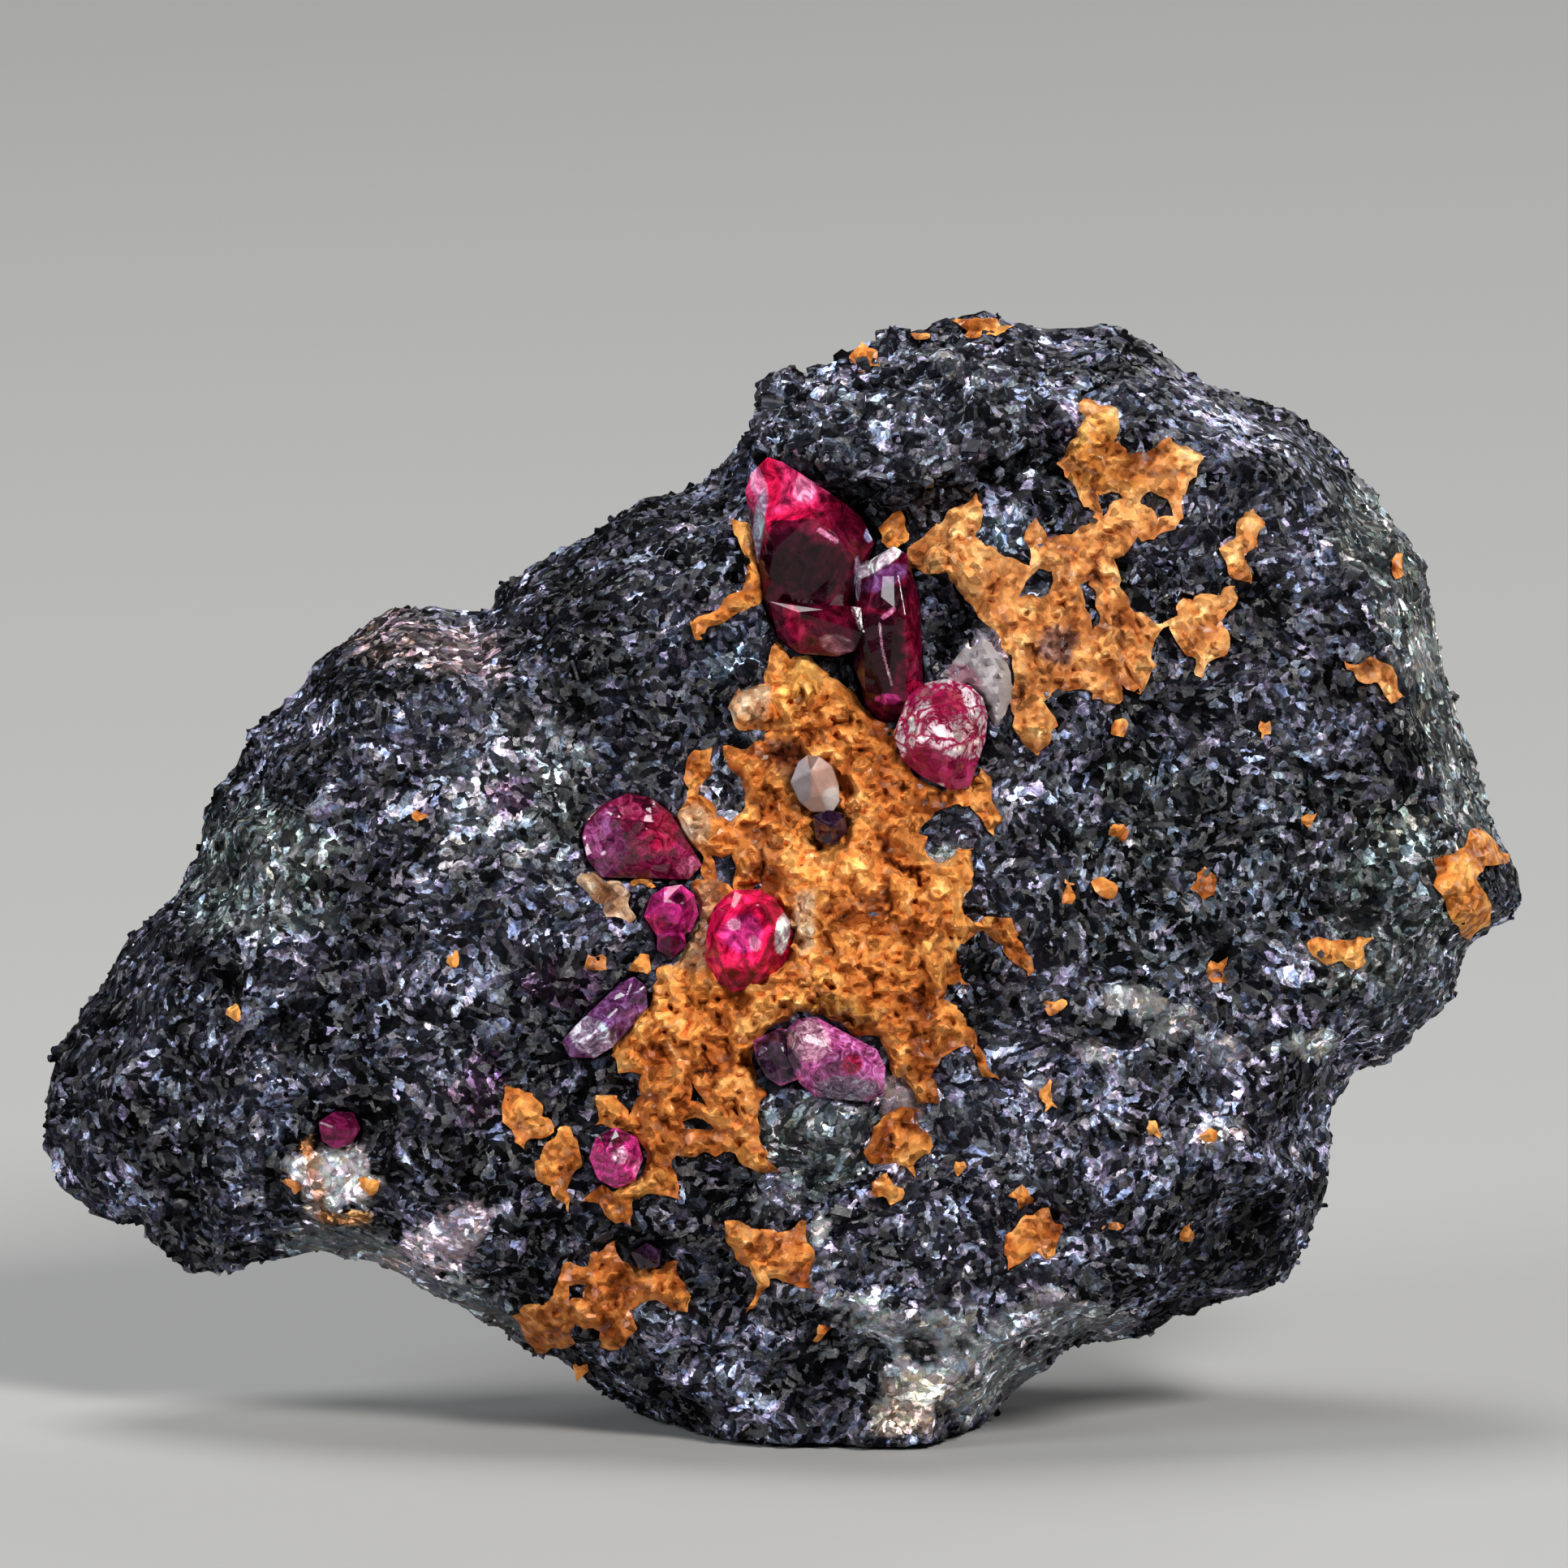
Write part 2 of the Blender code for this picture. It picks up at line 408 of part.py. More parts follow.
def resampled(loop, spacing):
    """The same closed outline with its long sides divided to about the spacing."""
    out = []
    for a, b in zip(loop, np.roll(loop, -1, axis=0)):
        pieces = max(1, round(float(np.hypot(*(b - a))) / spacing))
        out.extend(a + (b - a) * (k / pieces) for k in range(pieces))
    return np.array(out)


def hex_points(low, high, spacing, jitter, rng):
    """A slightly irregular triangular grid of points over a rectangle."""
    rows = []
    step = spacing * math.sqrt(3.0) / 2.0
    for j in range(int((high[1] - low[1]) / step) + 2):
        for i in range(int((high[0] - low[0]) / spacing) + 2):
            x = low[0] + (i + 0.5 * (j % 2)) * spacing + rng.uniform(-jitter, jitter) * spacing
            y = low[1] + j * step + rng.uniform(-jitter, jitter) * spacing
            rows.append((x, y))
    return np.array(rows)


def rim_blend(points, plain, which):
    """A value of the rim zones, blended between them; far from all zones it is the plain value."""
    weight = np.full(len(points), 0.12)
    total = weight * plain
    for zone in RIM_ZONES:
        centre = np.array(on_face(zone[0], zone[1]))
        near = np.exp(-((points - centre) ** 2).sum(axis=1) / (zone[2] * zone[2]))
        weight = weight + near
        total = total + near * zone[which]
    return total / weight


def rim_bevel(points):
    """Bevel width of the rim near each point."""
    return rim_blend(points, RIM_BEVEL, 3)


def rim_forward(points):
    """How far the rim itself sits forward or back."""
    wander = [noise.noise(Vector((x / RIM_WANDER_WAVE, y / RIM_WANDER_WAVE, 4.0))) for x, y in points]
    return rim_blend(points, 0.0, 4) + RIM_WANDER * np.array(wander)


def relief(points, waves, shift):
    """Rolling relief of the broken surface."""
    out = np.zeros(len(points))
    for wave, height in waves:
        values = [noise.fractal(Vector((x / wave + shift, y / wave - shift, shift)), 0.9, 2.1, 2)
                  for x, y in points]
        out += height * np.array(values)
    return out


def grain_facets(points, size, shift):
    """Small flat facets, each tilted its own way, like the faces of coarse grains."""
    out = np.zeros(len(points))
    for k, (x, y) in enumerate(points):
        place = Vector((x / size + shift, y / size + shift, 0.0))
        middle = noise.voronoi(place)[1][0]
        turn = noise.cell_vector(middle * 57.0)
        lean = (turn.x - 0.5) * (place.x - middle.x) + (turn.y - 0.5) * (place.y - middle.y)
        out[k] = lean * size * GRAIN_TILT * 2.0 + (turn.z - 0.5) * GRAIN_STEP * 2.0
    return out


def clipped(height, points, planes):
    """Height cut back by the broken planes."""
    for column, row, level, to_right, upward in planes:
        u, w = on_face(column, row)
        plane = level + (points[:, 0] - u) * to_right + (points[:, 1] - w) * upward
        height = np.minimum(height, plane)
    return height


def lumps(points):
    """Bulges and hollows of the front."""
    out = np.zeros(len(points))
    for column, row, half_width, half_height, rise, steep in FRONT_LUMPS:
        u, w = on_face(column, row)
        q = np.hypot((points[:, 0] - u) / half_width, (points[:, 1] - w) / half_height)
        out += rise * np.exp(-(q ** (2.0 * steep)))
    for line, half_width, rise in FRONT_LINES:
        away = distance_to_line(points, outline_on_face(line))
        out += rise * np.exp(-((away / half_width) ** 2))
    return out


def crust_beds(points):
    """Shallow beds in the rock under the crust."""
    out = np.zeros(len(points))
    for outline, _holes, _thick in CRUSTS.values():
        loop = outline_on_face(outline)
        away = distance_to_loop(points, loop)
        signed = np.where(inside_loop(points, loop), away, -away)
        out = np.maximum(out, np.clip(0.5 + signed / BED_FADE, 0.0, 1.0) * CRUST_BED)
    return out


def dome(points, bulge, middle, fall):
    """Broad curve of one side of the stone."""
    u = (points[:, 0] - middle[0]) / MM
    w = (points[:, 1] - middle[1]) / MM
    return bulge - (fall[0] * u * u + fall[1] * w * w) * MM


def rounded_to_rim(points, away, fullness):
    """0 at the rim to 1 inside it, as a rounded edge."""
    t = np.clip(away / rim_bevel(points) * fullness, 0.0, 1.0)
    return np.sqrt(1.0 - (1.0 - t) ** 2)


def calm_under_crust(points):
    """Less relief where the crust lies on the rock."""
    calm = np.ones(len(points))
    for outline, _holes, _thick in CRUSTS.values():
        loop = outline_on_face(outline)
        away = distance_to_loop(points, loop)
        signed = np.where(inside_loop(points, loop), away, -away)
        calm = np.minimum(calm, 1.0 - 0.8 * np.clip(0.5 + signed / BED_FADE, 0.0, 1.0))
    return calm


def front_height(points, away):
    """Height of the front over the plane of the rim."""
    body = clipped(dome(points, FRONT_BULGE, FRONT_MIDDLE, FRONT_FALL), points, FRONT_PLANES)
    edge = rounded_to_rim(points, away, 1.0)
    rough = relief(points, FRONT_RELIEF, 3.7) + grain_facets(points, GRAIN_SIZE, 11.0) * calm_under_crust(points)
    return np.maximum((body + lumps(points) + rough - crust_beds(points)) * edge, 0.05 * MM * edge)


def back_height(points, away):
    """Height of the back behind the plane of the rim."""
    body = clipped(dome(points, BACK_BULGE, BACK_MIDDLE, BACK_FALL), points, BACK_PLANES)
    edge = rounded_to_rim(points, away, 0.9)
    rough = relief(points, BACK_RELIEF, 9.3) + grain_facets(points, 1.9 * GRAIN_SIZE, 5.0)
    return np.maximum((body + rough) * edge, 0.05 * MM * edge)


def smooth_front(column, row):
    """Height of the broad front without its small relief, where a crystal sits."""
    point = np.array([on_face(column, row)])
    away = distance_to_loop(point, outline_on_face(RIM))
    body = clipped(dome(point, FRONT_BULGE, FRONT_MIDDLE, FRONT_FALL), point, FRONT_PLANES)
    body = body + lumps(point) + relief(point, FRONT_RELIEF, 3.7) - crust_beds(point)
    return float((body * rounded_to_rim(point, away, 1.0))[0])


def link(name, mesh):
    part = bpy.data.objects.new(name, mesh)
    bpy.context.scene.collection.objects.link(part)
    return part


def mesh_from(name, verts, faces):
    mesh = bpy.data.meshes.new(name)
    mesh.from_pydata([tuple(v) for v in verts], [], [tuple(f) for f in faces])
    mesh.update()
    return mesh


def drop(part):
    mesh = part.data
    bpy.data.objects.remove(part, do_unlink=True)
    bpy.data.meshes.remove(mesh)


def bake(part):
    """Turn the modifiers of a part into plain mesh."""
    graph = bpy.context.evaluated_depsgraph_get()
    graph.update()
    mesh = bpy.data.meshes.new_from_object(part.evaluated_get(graph))
    old = part.data
    part.modifiers.clear()
    part.data = mesh
    bpy.data.meshes.remove(old)


def tidy(part):
    """Outward normals, no doubled corners, triangles only."""
    bm = bmesh.new()
    bm.from_mesh(part.data)
    bmesh.ops.remove_doubles(bm, verts=bm.verts, dist=1e-6)
    bmesh.ops.dissolve_degenerate(bm, dist=1e-6, edges=bm.edges)
    bmesh.ops.triangulate(bm, faces=bm.faces)
    bmesh.ops.recalc_face_normals(bm, faces=bm.faces)
    bm.to_mesh(part.data)
    bm.free()


def combine(part, other, operation):
    """Join or cut a part with another closed shape, which is then gone."""
    tool = part.modifiers.new("combine", "BOOLEAN")
    tool.operation = operation
    tool.solver = "EXACT"
    tool.use_self = True
    tool.object = other
    bake(part)
    drop(other)
    tidy(part)


def hull(name, corners, grow=0.0):
    """Closed convex shape round the corners; grow moves each of its faces outward."""
    bm = bmesh.new()
    for corner in corners:
        bm.verts.new(corner)
    made = bmesh.ops.convex_hull(bm, input=bm.verts)
    spare = {e for e in made["geom_interior"] + made["geom_unused"] if isinstance(e, bmesh.types.BMVert)}
    bmesh.ops.delete(bm, geom=list(spare), context="VERTS")
    bmesh.ops.dissolve_limit(bm, angle_limit=math.radians(4.0), verts=bm.verts, edges=bm.edges)
    bmesh.ops.recalc_face_normals(bm, faces=bm.faces)
    if grow > 0.0:
        sides = [(f.normal.copy(), f.calc_center_median()) for f in bm.faces]
        middle = sum((v.co for v in bm.verts), Vector()) / len(bm.verts)
        bm.free()
        bm = bmesh.new()
        bmesh.ops.create_cube(bm, size=0.06, matrix=Matrix.Translation(middle))
        for normal, point in sides:
            geom = bm.verts[:] + bm.edges[:] + bm.faces[:]
            cut = bmesh.ops.bisect_plane(bm, geom=geom, dist=1e-8, plane_co=point + normal * grow,
                                         plane_no=normal, clear_outer=True)
            edges = [e for e in cut["geom_cut"] if isinstance(e, bmesh.types.BMEdge)]
            if edges:
                bmesh.ops.contextual_create(bm, geom=edges)
        bmesh.ops.remove_doubles(bm, verts=bm.verts, dist=1e-7)
    bmesh.ops.triangulate(bm, faces=bm.faces)
    bmesh.ops.recalc_face_normals(bm, faces=bm.faces)
    mesh = bpy.data.meshes.new(name)
    bm.to_mesh(mesh)
    bm.free()
    return link(name, mesh)


def skin_points(rim, rng):
    """Points over the face: the rim itself, rings just inside it, and an even grid within."""
    edge = resampled(rim, SKIN_SPACING * 1.15)
    points = [edge]
    nexts = np.roll(edge, -1, axis=0)
    before = np.roll(edge, 1, axis=0)
    along = nexts - before
    normal = np.stack([along[:, 1], -along[:, 0]], axis=1)
    normal /= np.hypot(normal[:, 0], normal[:, 1])[:, None]
    for ring in RIM_RINGS:
        inner = edge + normal * ring
        keep = inside_loop(inner, rim) & (distance_to_loop(inner, rim) > 0.93 * ring)
        points.append(inner[keep])
    grid = hex_points(rim.min(axis=0), rim.max(axis=0), SKIN_SPACING, 0.18, rng)
    keep = inside_loop(grid, rim) & (distance_to_loop(grid, rim) > RIM_RINGS[-1] + 0.35 * MM)
    points.append(grid[keep])
    return np.concatenate(points), len(edge)


def triangles_inside(points, edge_loops, rim, holes=()):
    """Triangles between the points, kept inside the outline and out of its holes."""
    edges = []
    for start, count in edge_loops:
        edges += [(start + k, start + (k + 1) % count) for k in range(count)]
    made = delaunay_2d_cdt([Vector(p) for p in points], edges, [], 0, 1e-9)
    flat = np.array([(v.x, v.y) for v in made[0]])
    faces = np.array(made[2])
    middles = flat[faces].mean(axis=1)
    keep = inside_loop(middles, rim)
    for hole in holes:
        keep &= ~inside_loop(middles, hole)
    return flat, faces[keep]


def closed_body(name, flat, faces, front, back):
    """A closed body from one flat net of triangles and its front and back heights."""
    count = len(flat)
    used = sorted({int(i) for f in faces for i in f})
    sides = {}
    for f in faces:
        for a, b in ((f[0], f[1]), (f[1], f[2]), (f[2], f[0])):
            key = (min(a, b), max(a, b))
            sides.setdefault(key, []).append((int(a), int(b)))
    border = [runs[0] for runs in sides.values() if len(runs) == 1]
    shared = {i for i in used if abs(front[i] - back[i]) < 1e-9}
    verts = [(flat[i][0], -front[i], flat[i][1]) for i in range(count)]
    verts += [(flat[i][0], -back[i], flat[i][1]) for i in range(count)]
    behind = {i: (i if i in shared else i + count) for i in used}
    out = []
    for a, b, c in faces:
        out.append((int(a), int(b), int(c)))
        out.append((behind[int(c)], behind[int(b)], behind[int(a)]))
    for a, b in border:
        wall = list(dict.fromkeys((b, a, behind[a], behind[b])))
        if len(wall) > 2:
            out.append(tuple(wall))
    part = link(name, mesh_from(name, verts, out))
    bm = bmesh.new()
    bm.from_mesh(part.data)
    loose = [v for v in bm.verts if not v.link_faces]
    bmesh.ops.delete(bm, geom=loose, context="VERTS")
    bm.to_mesh(part.data)
    bm.free()
    tidy(part)
    return part


def chip_sides(rock):
    """Ledges and hollows in the sides; only inward, so the outline seen from the front stays."""
    bm = bmesh.new()
    bm.from_mesh(rock.data)
    bm.normal_update()
    places = np.array([(v.co.x, v.co.z) for v in bm.verts])
    forward = rim_forward(places)
    moves = []
    for vert, ahead in zip(bm.verts, forward):
        away = (vert.co.y + ahead) / SIDE_CHIP_REACH
        side = (1.0 - abs(vert.normal.y)) * (1.0 - math.exp(-away * away))
        place = vert.co / SIDE_CHIP_SIZE + Vector((3.1, 7.7, 1.9))
        middle = noise.voronoi(place)[1][0]
        turn = noise.cell_vector(middle * 31.0)
        step = turn.x + 0.8 * (place - middle).dot(turn - Vector((0.5, 0.5, 0.5)))
        rough = 0.5 + 0.5 * noise.fractal(vert.co / (0.45 * SIDE_CHIP_SIZE), 0.9, 2.0, 3)
        moves.append(-vert.normal * side * SIDE_CHIP_DEPTH * max(0.0, 0.6 * step + 0.5 * rough))
    for vert, move in zip(bm.verts, moves):
        vert.co += move
    bm.to_mesh(rock.data)
    bm.free()


def build_rock():
    """The schist block: front and back heights over the outline, then fewer triangles and a flat foot."""
    rng = random.Random(SEED)
    rim = outline_on_face(RIM)
    points, edge_count = skin_points(rim, rng)
    flat, faces = triangles_inside(points, [(0, edge_count)], rim)
    away = distance_to_loop(flat, rim)
    on_rim = away < 1e-7
    forward = rim_forward(flat)
    front = forward * (1.0 - rounded_to_rim(flat, away, 1.0)) + front_height(flat, away)
    back = forward * (1.0 - rounded_to_rim(flat, away, 0.9)) - back_height(flat, away)
    front = np.where(on_rim, forward, front)
    back = np.where(on_rim, forward, back)
    rock = closed_body("matrix", flat, faces, front, back)
    chip_sides(rock)
    shrink = rock.modifiers.new("fewer", "DECIMATE")
    shrink.ratio = MATRIX_TRIANGLES / len(rock.data.polygons)
    bake(rock)
    tidy(rock)
    return rock


def cut_foot(rock):
    """Cut the flat foot: the plane through the foot's front edge that is level when the stone leans."""
    bm = bmesh.new()
    bmesh.ops.create_cube(bm, size=0.2)
    mesh = bpy.data.meshes.new("foot_cut")
    bm.to_mesh(mesh)
    bm.free()
    below = link("foot_cut", mesh)
    level = Matrix.Translation((0.0, -FOOT_FRONT, 0.0)) @ Matrix.Rotation(LEAN, 4, "X")
    mesh.transform(level @ Matrix.Translation((0.0, 0.0, -0.1)))
    combine(rock, below, "DIFFERENCE")


def rock_tree(rock):
    bm = bmesh.new()
    bm.from_mesh(rock.data)
    tree = BVHTree.FromBMesh(bm)
    bm.free()
    return tree


def rock_front(tree, u, w):
    """Height of the rock's front at a place on the face, or None beside the rock."""
    hit = tree.ray_cast(Vector((u, -0.05, w)), Vector((0.0, 1.0, 0.0)))
    return None if hit[0] is None else -hit[0].y


def blade(name, place, length, width, thick, turn):
    """A flat-sided dark crystal with slanted ends."""
    corners = []
    for sx in (-1.0, 1.0):
        for sy in (-1.0, 1.0):
            for sz in (-1.0, 1.0):
                reach = length * (0.5 if sz < 0.0 else 0.36)
                corners.append(Vector((sx * reach, sy * width / 2.0, sz * thick / 2.0)))
    return hull(name, [place + turn @ c for c in corners])


def joined(name, shapes):
    """Several closed shapes in one object."""
    bm = bmesh.new()
    for shape in shapes:
        bm.from_mesh(shape.data)
        drop(shape)
    mesh = bpy.data.meshes.new(name)
    bm.to_mesh(mesh)
    bm.free()
    return link(name, mesh)


def in_keep_out(u, w, reach):
    """True where a dark crystal would meet a ruby or a patch of crust."""
    point = np.array([[u, w]])
    for outline, _holes, _thick in CRUSTS.values():
        loop = outline_on_face(outline)
        if inside_loop(point, loop)[0] or distance_to_loop(point, loop)[0] < reach:
            return True
    for crystals, _material in GEMS.values():
        for corners in crystals:
            middle = np.array([on_face(c, r) for c, r, _h in corners])
            centre = middle.mean(axis=0)
            radius = np.hypot(*(middle - centre).T).max()
            if np.hypot(*(point[0] - centre)) < radius + reach:
                return True
    return False


def add_dark_crystals(rock):
    """Coarse dark crystals fused to the rock they grow from."""
    rng = random.Random(SEED + 1)
    tree = rock_tree(rock)
    blades = []
    for column, row, reach_c, reach_r, number, lengths in DARK_AREAS:
        for _ in range(number):
            u, w = on_face(column + rng.uniform(-reach_c, reach_c), row + rng.uniform(-reach_r, reach_r))
            length = rng.uniform(*lengths) * MM
            width = length * rng.uniform(0.42, 0.65)
            thick = length * rng.uniform(0.45, 0.6)
            turn = (Matrix.Rotation(rng.uniform(0.0, math.tau), 3, "Y")
                    @ Matrix.Rotation(rng.uniform(-0.6, 0.6), 3, "Z")
                    @ Matrix.Rotation(math.radians(90.0) + rng.uniform(-0.5, 0.5), 3, "X"))
            height = rock_front(tree, u, w)
            if height is None or in_keep_out(u, w, 0.55 * length + 0.3 * MM):
                continue
            place = Vector((u, -height, w))
            blades.append(blade("dark", place, length, width, thick, turn))
    combine(rock, joined("dark_crystals", blades), "UNION")


def gem_corners(corners):
    """Corners of a crystal on the rock, with its root."""
    grid = np.array([(c, r) for c, r, _h in corners])
    column, row = grid.mean(axis=0)
    base = smooth_front(column, row)
    middle = np.array(on_face(column, row))
    out = []
    for c, r, h in corners:
        u, w = on_face(c, r)
        out.append(Vector((u, -(base + h * MM), w)))
        ru, rw = middle + (np.array((u, w)) - middle) * ROOT_SCALE
        out.append(Vector((ru, -(base - ROOT_DEPTH), rw)))
    return out


def build_gems(rock):
    """The rubies and the feldspar flake, each in a socket of the rock with a small gap all round."""
    made = {}
    sockets = []
    for name, (crystals, _material) in GEMS.items():
        shapes = [gem_corners(corners) for corners in crystals]
        gem = hull(name, shapes[0])
        for number, shape in enumerate(shapes[1:]):
            combine(gem, hull(f"{name}_{number}", shape), "UNION")
        sockets += [hull("socket", shape, GAP) for shape in shapes]
        tidy(gem)
        made[name] = (gem, shapes)
    combine(rock, joined("sockets", sockets), "DIFFERENCE")
    return made


def floor_height(tree, u, w, reach):
    """Highest point of the rock's front within reach of a place."""
    best = -1.0
    steps = 3
    for i in range(-steps, steps + 1):
        for j in range(-steps, steps + 1):
            if i * i + j * j > steps * steps + 1:
                continue
            height = rock_front(tree, u + i * reach / steps, w + j * reach / steps)
            if height is not None:
                best = max(best, height)
    return best


def build_crust(name, outline, holes, fullness, tree, rng):
    """A patch of crust: a closed slab over the rock, thin at its edges and uneven within."""
    loops = [outline_on_face(outline)] + [outline_on_face(hole) for hole in holes]
    rings = [resampled(loop, CRUST_EDGE_SPACING) for loop in loops]
    points = list(rings)
    grid = hex_points(loops[0].min(axis=0), loops[0].max(axis=0), CRUST_SPACING, 0.2, rng)
    keep = inside_loop(grid, loops[0])
    away = distance_to_loop(grid, loops[0])
    for loop in loops[1:]:
        keep &= ~inside_loop(grid, loop)
        away = np.minimum(away, distance_to_loop(grid, loop))
    points.append(grid[keep & (away > 0.5 * CRUST_SPACING)])
    starts = np.cumsum([0] + [len(r) for r in rings])
    edge_loops = [(int(starts[k]), len(rings[k])) for k in range(len(rings))]
    flat, faces = triangles_inside(np.concatenate(points), edge_loops, rings[0], rings[1:])
    away = np.full(len(flat), np.inf)
    for ring in rings:
        away = np.minimum(away, distance_to_loop(flat, ring))
    back = np.zeros(len(flat))
    front = np.zeros(len(flat))
    for k, (u, w) in enumerate(flat):
        back[k] = floor_height(tree, u, w, 0.6 * CRUST_SPACING) + GAP
        bump = 0.5 + 0.5 * noise.noise(Vector((u / 0.0016, w / 0.0016, 7.0)))
        rise = (CRUST_THICK * fullness - CRUST_EDGE) * min(1.0, away[k] / (1.2 * MM)) * (0.55 + 0.9 * bump)
        front[k] = back[k] + CRUST_EDGE + rise
    return closed_body(name, flat, faces, front, back)


def build_crusts(rock, gems):
    """All crust patches, with room left for the crystals that stand in them."""
    rng = random.Random(SEED + 2)
    tree = rock_tree(rock)
    made = {}
    for name, (outline, holes, fullness) in CRUSTS.items():
        crust = build_crust(name, outline, holes, fullness, tree, rng)
        low = np.array([v.co for v in crust.data.vertices]).min(axis=0)
        high = np.array([v.co for v in crust.data.vertices]).max(axis=0)
        rooms = []
        for _gem, shapes in gems.values():
            for shape in shapes:
                box = np.array(shape)
                if (box.min(axis=0) < high + GAP).all() and (box.max(axis=0) > low - GAP).all():
                    rooms.append(hull("room", shape, GAP))
        if rooms:
            combine(crust, joined("rooms", rooms), "DIFFERENCE")
        keep_largest(crust)
        made[name] = crust
    return made


def keep_largest(part):
    """Drop the crumbs that a cut leaves beside the main piece."""
    bm = bmesh.new()
    bm.from_mesh(part.data)
    seen = set()
    islands = []
    for start in bm.verts:
        if start in seen:
            continue
        island = []
        stack = [start]
        seen.add(start)
        while stack:
            vert = stack.pop()
            island.append(vert)
            for edge in vert.link_edges:
                other = edge.other_vert(vert)
                if other not in seen:
                    seen.add(other)
                    stack.append(other)
        islands.append(island)
    islands.sort(key=len)
    for island in islands[:-1]:
        bmesh.ops.delete(bm, geom=island, context="VERTS")
    bm.to_mesh(part.data)
    bm.free()


def material(name, colour, roughness, coat=0.0):
    made = bpy.data.materials.new(name)
    made.use_nodes = True
    shader = made.node_tree.nodes["Principled BSDF"]
    shader.inputs["Base Color"].default_value = (*colour, 1.0)
    shader.inputs["Roughness"].default_value = roughness
    shader.inputs["Metallic"].default_value = 0.0
    shader.inputs["Coat Weight"].default_value = coat
    return made


def stand_on_foot(parts):
    """Lean the stone back, set its foot at z = 0 and centre it."""
    lean = Matrix.Rotation(-LEAN, 4, "X")
    for part in parts:
        part.data.transform(lean)
    spots = np.array([v.co for part in parts for v in part.data.vertices])
    low = spots.min(axis=0)
    high = spots.max(axis=0)
    shift = Vector((-(low[0] + high[0]) / 2.0, -(low[1] + high[1]) / 2.0, -low[2]))
    for part in parts:
        part.data.transform(Matrix.Translation(shift))
        part.data.update()


def main():
    for old in list(bpy.data.objects):
        bpy.data.objects.remove(old, do_unlink=True)
    schist = material("schist", (0.035, 0.040, 0.050), 0.5, 0.3)
    ochre = material("ochre", (0.56, 0.25, 0.07), 0.75)
    looks = {
        "ruby": material("ruby", (0.36, 0.01, 0.06), 0.12, 0.6),
        "feldspar": material("feldspar", (0.62, 0.42, 0.36), 0.45),
    }
    rock = build_rock()
    cut_foot(rock)
    add_dark_crystals(rock)
    gems = build_gems(rock)
    keep_largest(rock)
    crusts = build_crusts(rock, gems)
    rock.data.materials.clear()
    rock.data.materials.append(schist)
    for name, (gem, _shapes) in gems.items():
        gem.data.materials.clear()
        gem.data.materials.append(looks[GEMS[name][1]])
    for crust in crusts.values():
        crust.data.materials.clear()
        crust.data.materials.append(ochre)
    stand_on_foot([rock] + [gem for gem, _shapes in gems.values()] + list(crusts.values()))


main()
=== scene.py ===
"""Ruby in matrix: a dark schist hand specimen with ruby crystals and patches of ochre crust.

Places are given on a grid over the broad face (column to the right, row downward), which leans
8 degrees back on its foot. Units are metres, +Z is up, the broad face looks toward -Y.
"""

import math
import random

import bmesh
import bpy
import numpy as np
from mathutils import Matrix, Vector, noise
from mathutils.bvhtree import BVHTree
from mathutils.geometry import delaunay_2d_cdt


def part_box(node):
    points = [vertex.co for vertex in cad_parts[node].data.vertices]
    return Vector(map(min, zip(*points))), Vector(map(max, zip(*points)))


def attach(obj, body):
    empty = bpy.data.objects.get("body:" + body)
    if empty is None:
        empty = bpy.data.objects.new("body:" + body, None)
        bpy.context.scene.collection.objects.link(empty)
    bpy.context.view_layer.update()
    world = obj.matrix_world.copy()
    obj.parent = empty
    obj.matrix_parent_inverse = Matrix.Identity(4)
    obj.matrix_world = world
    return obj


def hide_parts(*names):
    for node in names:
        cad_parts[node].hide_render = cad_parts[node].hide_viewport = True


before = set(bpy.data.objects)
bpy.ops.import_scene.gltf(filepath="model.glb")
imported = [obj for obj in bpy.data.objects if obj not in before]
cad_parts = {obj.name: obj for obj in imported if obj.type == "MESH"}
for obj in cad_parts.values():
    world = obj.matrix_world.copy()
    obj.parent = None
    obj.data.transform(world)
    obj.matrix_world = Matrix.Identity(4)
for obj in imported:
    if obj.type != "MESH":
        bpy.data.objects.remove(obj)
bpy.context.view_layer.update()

MM = 0.001
GRID_STEP = 0.08 / 1837.0
MID_COLUMN = 968.5
FOOT_ROW = 1785.0
LEAN = math.radians(8.0)
CLUSTER_TOP_ROW = 569.0
CLUSTER_RIGHT_COLUMN = 1134.0
DEPTH_SHIFT = 1.67 * MM

# Rock skin
SKIN_VOXEL = 0.39 * MM
RELIEF_WAVES = ((3.2 * MM, 0.22 * MM), (1.1 * MM, 0.14 * MM), (0.5 * MM, 0.08 * MM))
BLOCK_SIZE = 1.15 * MM
BLOCK_STEP = 0.3 * MM
GRAIN_SINK = 0.13 * MM
GEM_REACH = 0.55 * MM
FOOT_HEIGHT = 0.35 * MM

# Crust
CRUST_EDGE_SPACING = 0.26 * MM
CRUST_SPACING = 0.25 * MM
CRUST_RAGGED = 0.45 * MM
CRUST_RISE = 1.25 * MM
CRUST_LIP = 0.1 * MM
CRUST_ROOT = 0.75 * MM
CRUST_FOLD = 1.25 * MM
CRUST_EDGE_RISE = 0.9 * MM
FLOOR_REACH = 0.4 * MM
SPECK_FULLNESS = 0.6
SPECK_DEPTH = 2.0 * MM
FIRST_SPECK_SEED = 40
RIND_FULLNESS = 1.5
RIND_SEED = 90

# Crystals fill most of the gap round them
CRYSTAL_GROWTH = 0.2 * MM
CRYSTAL_WEAR = 0.05 * MM
CRYSTAL_SPACING = 0.17 * MM
FACE_TONES = (0.55, 1.45)

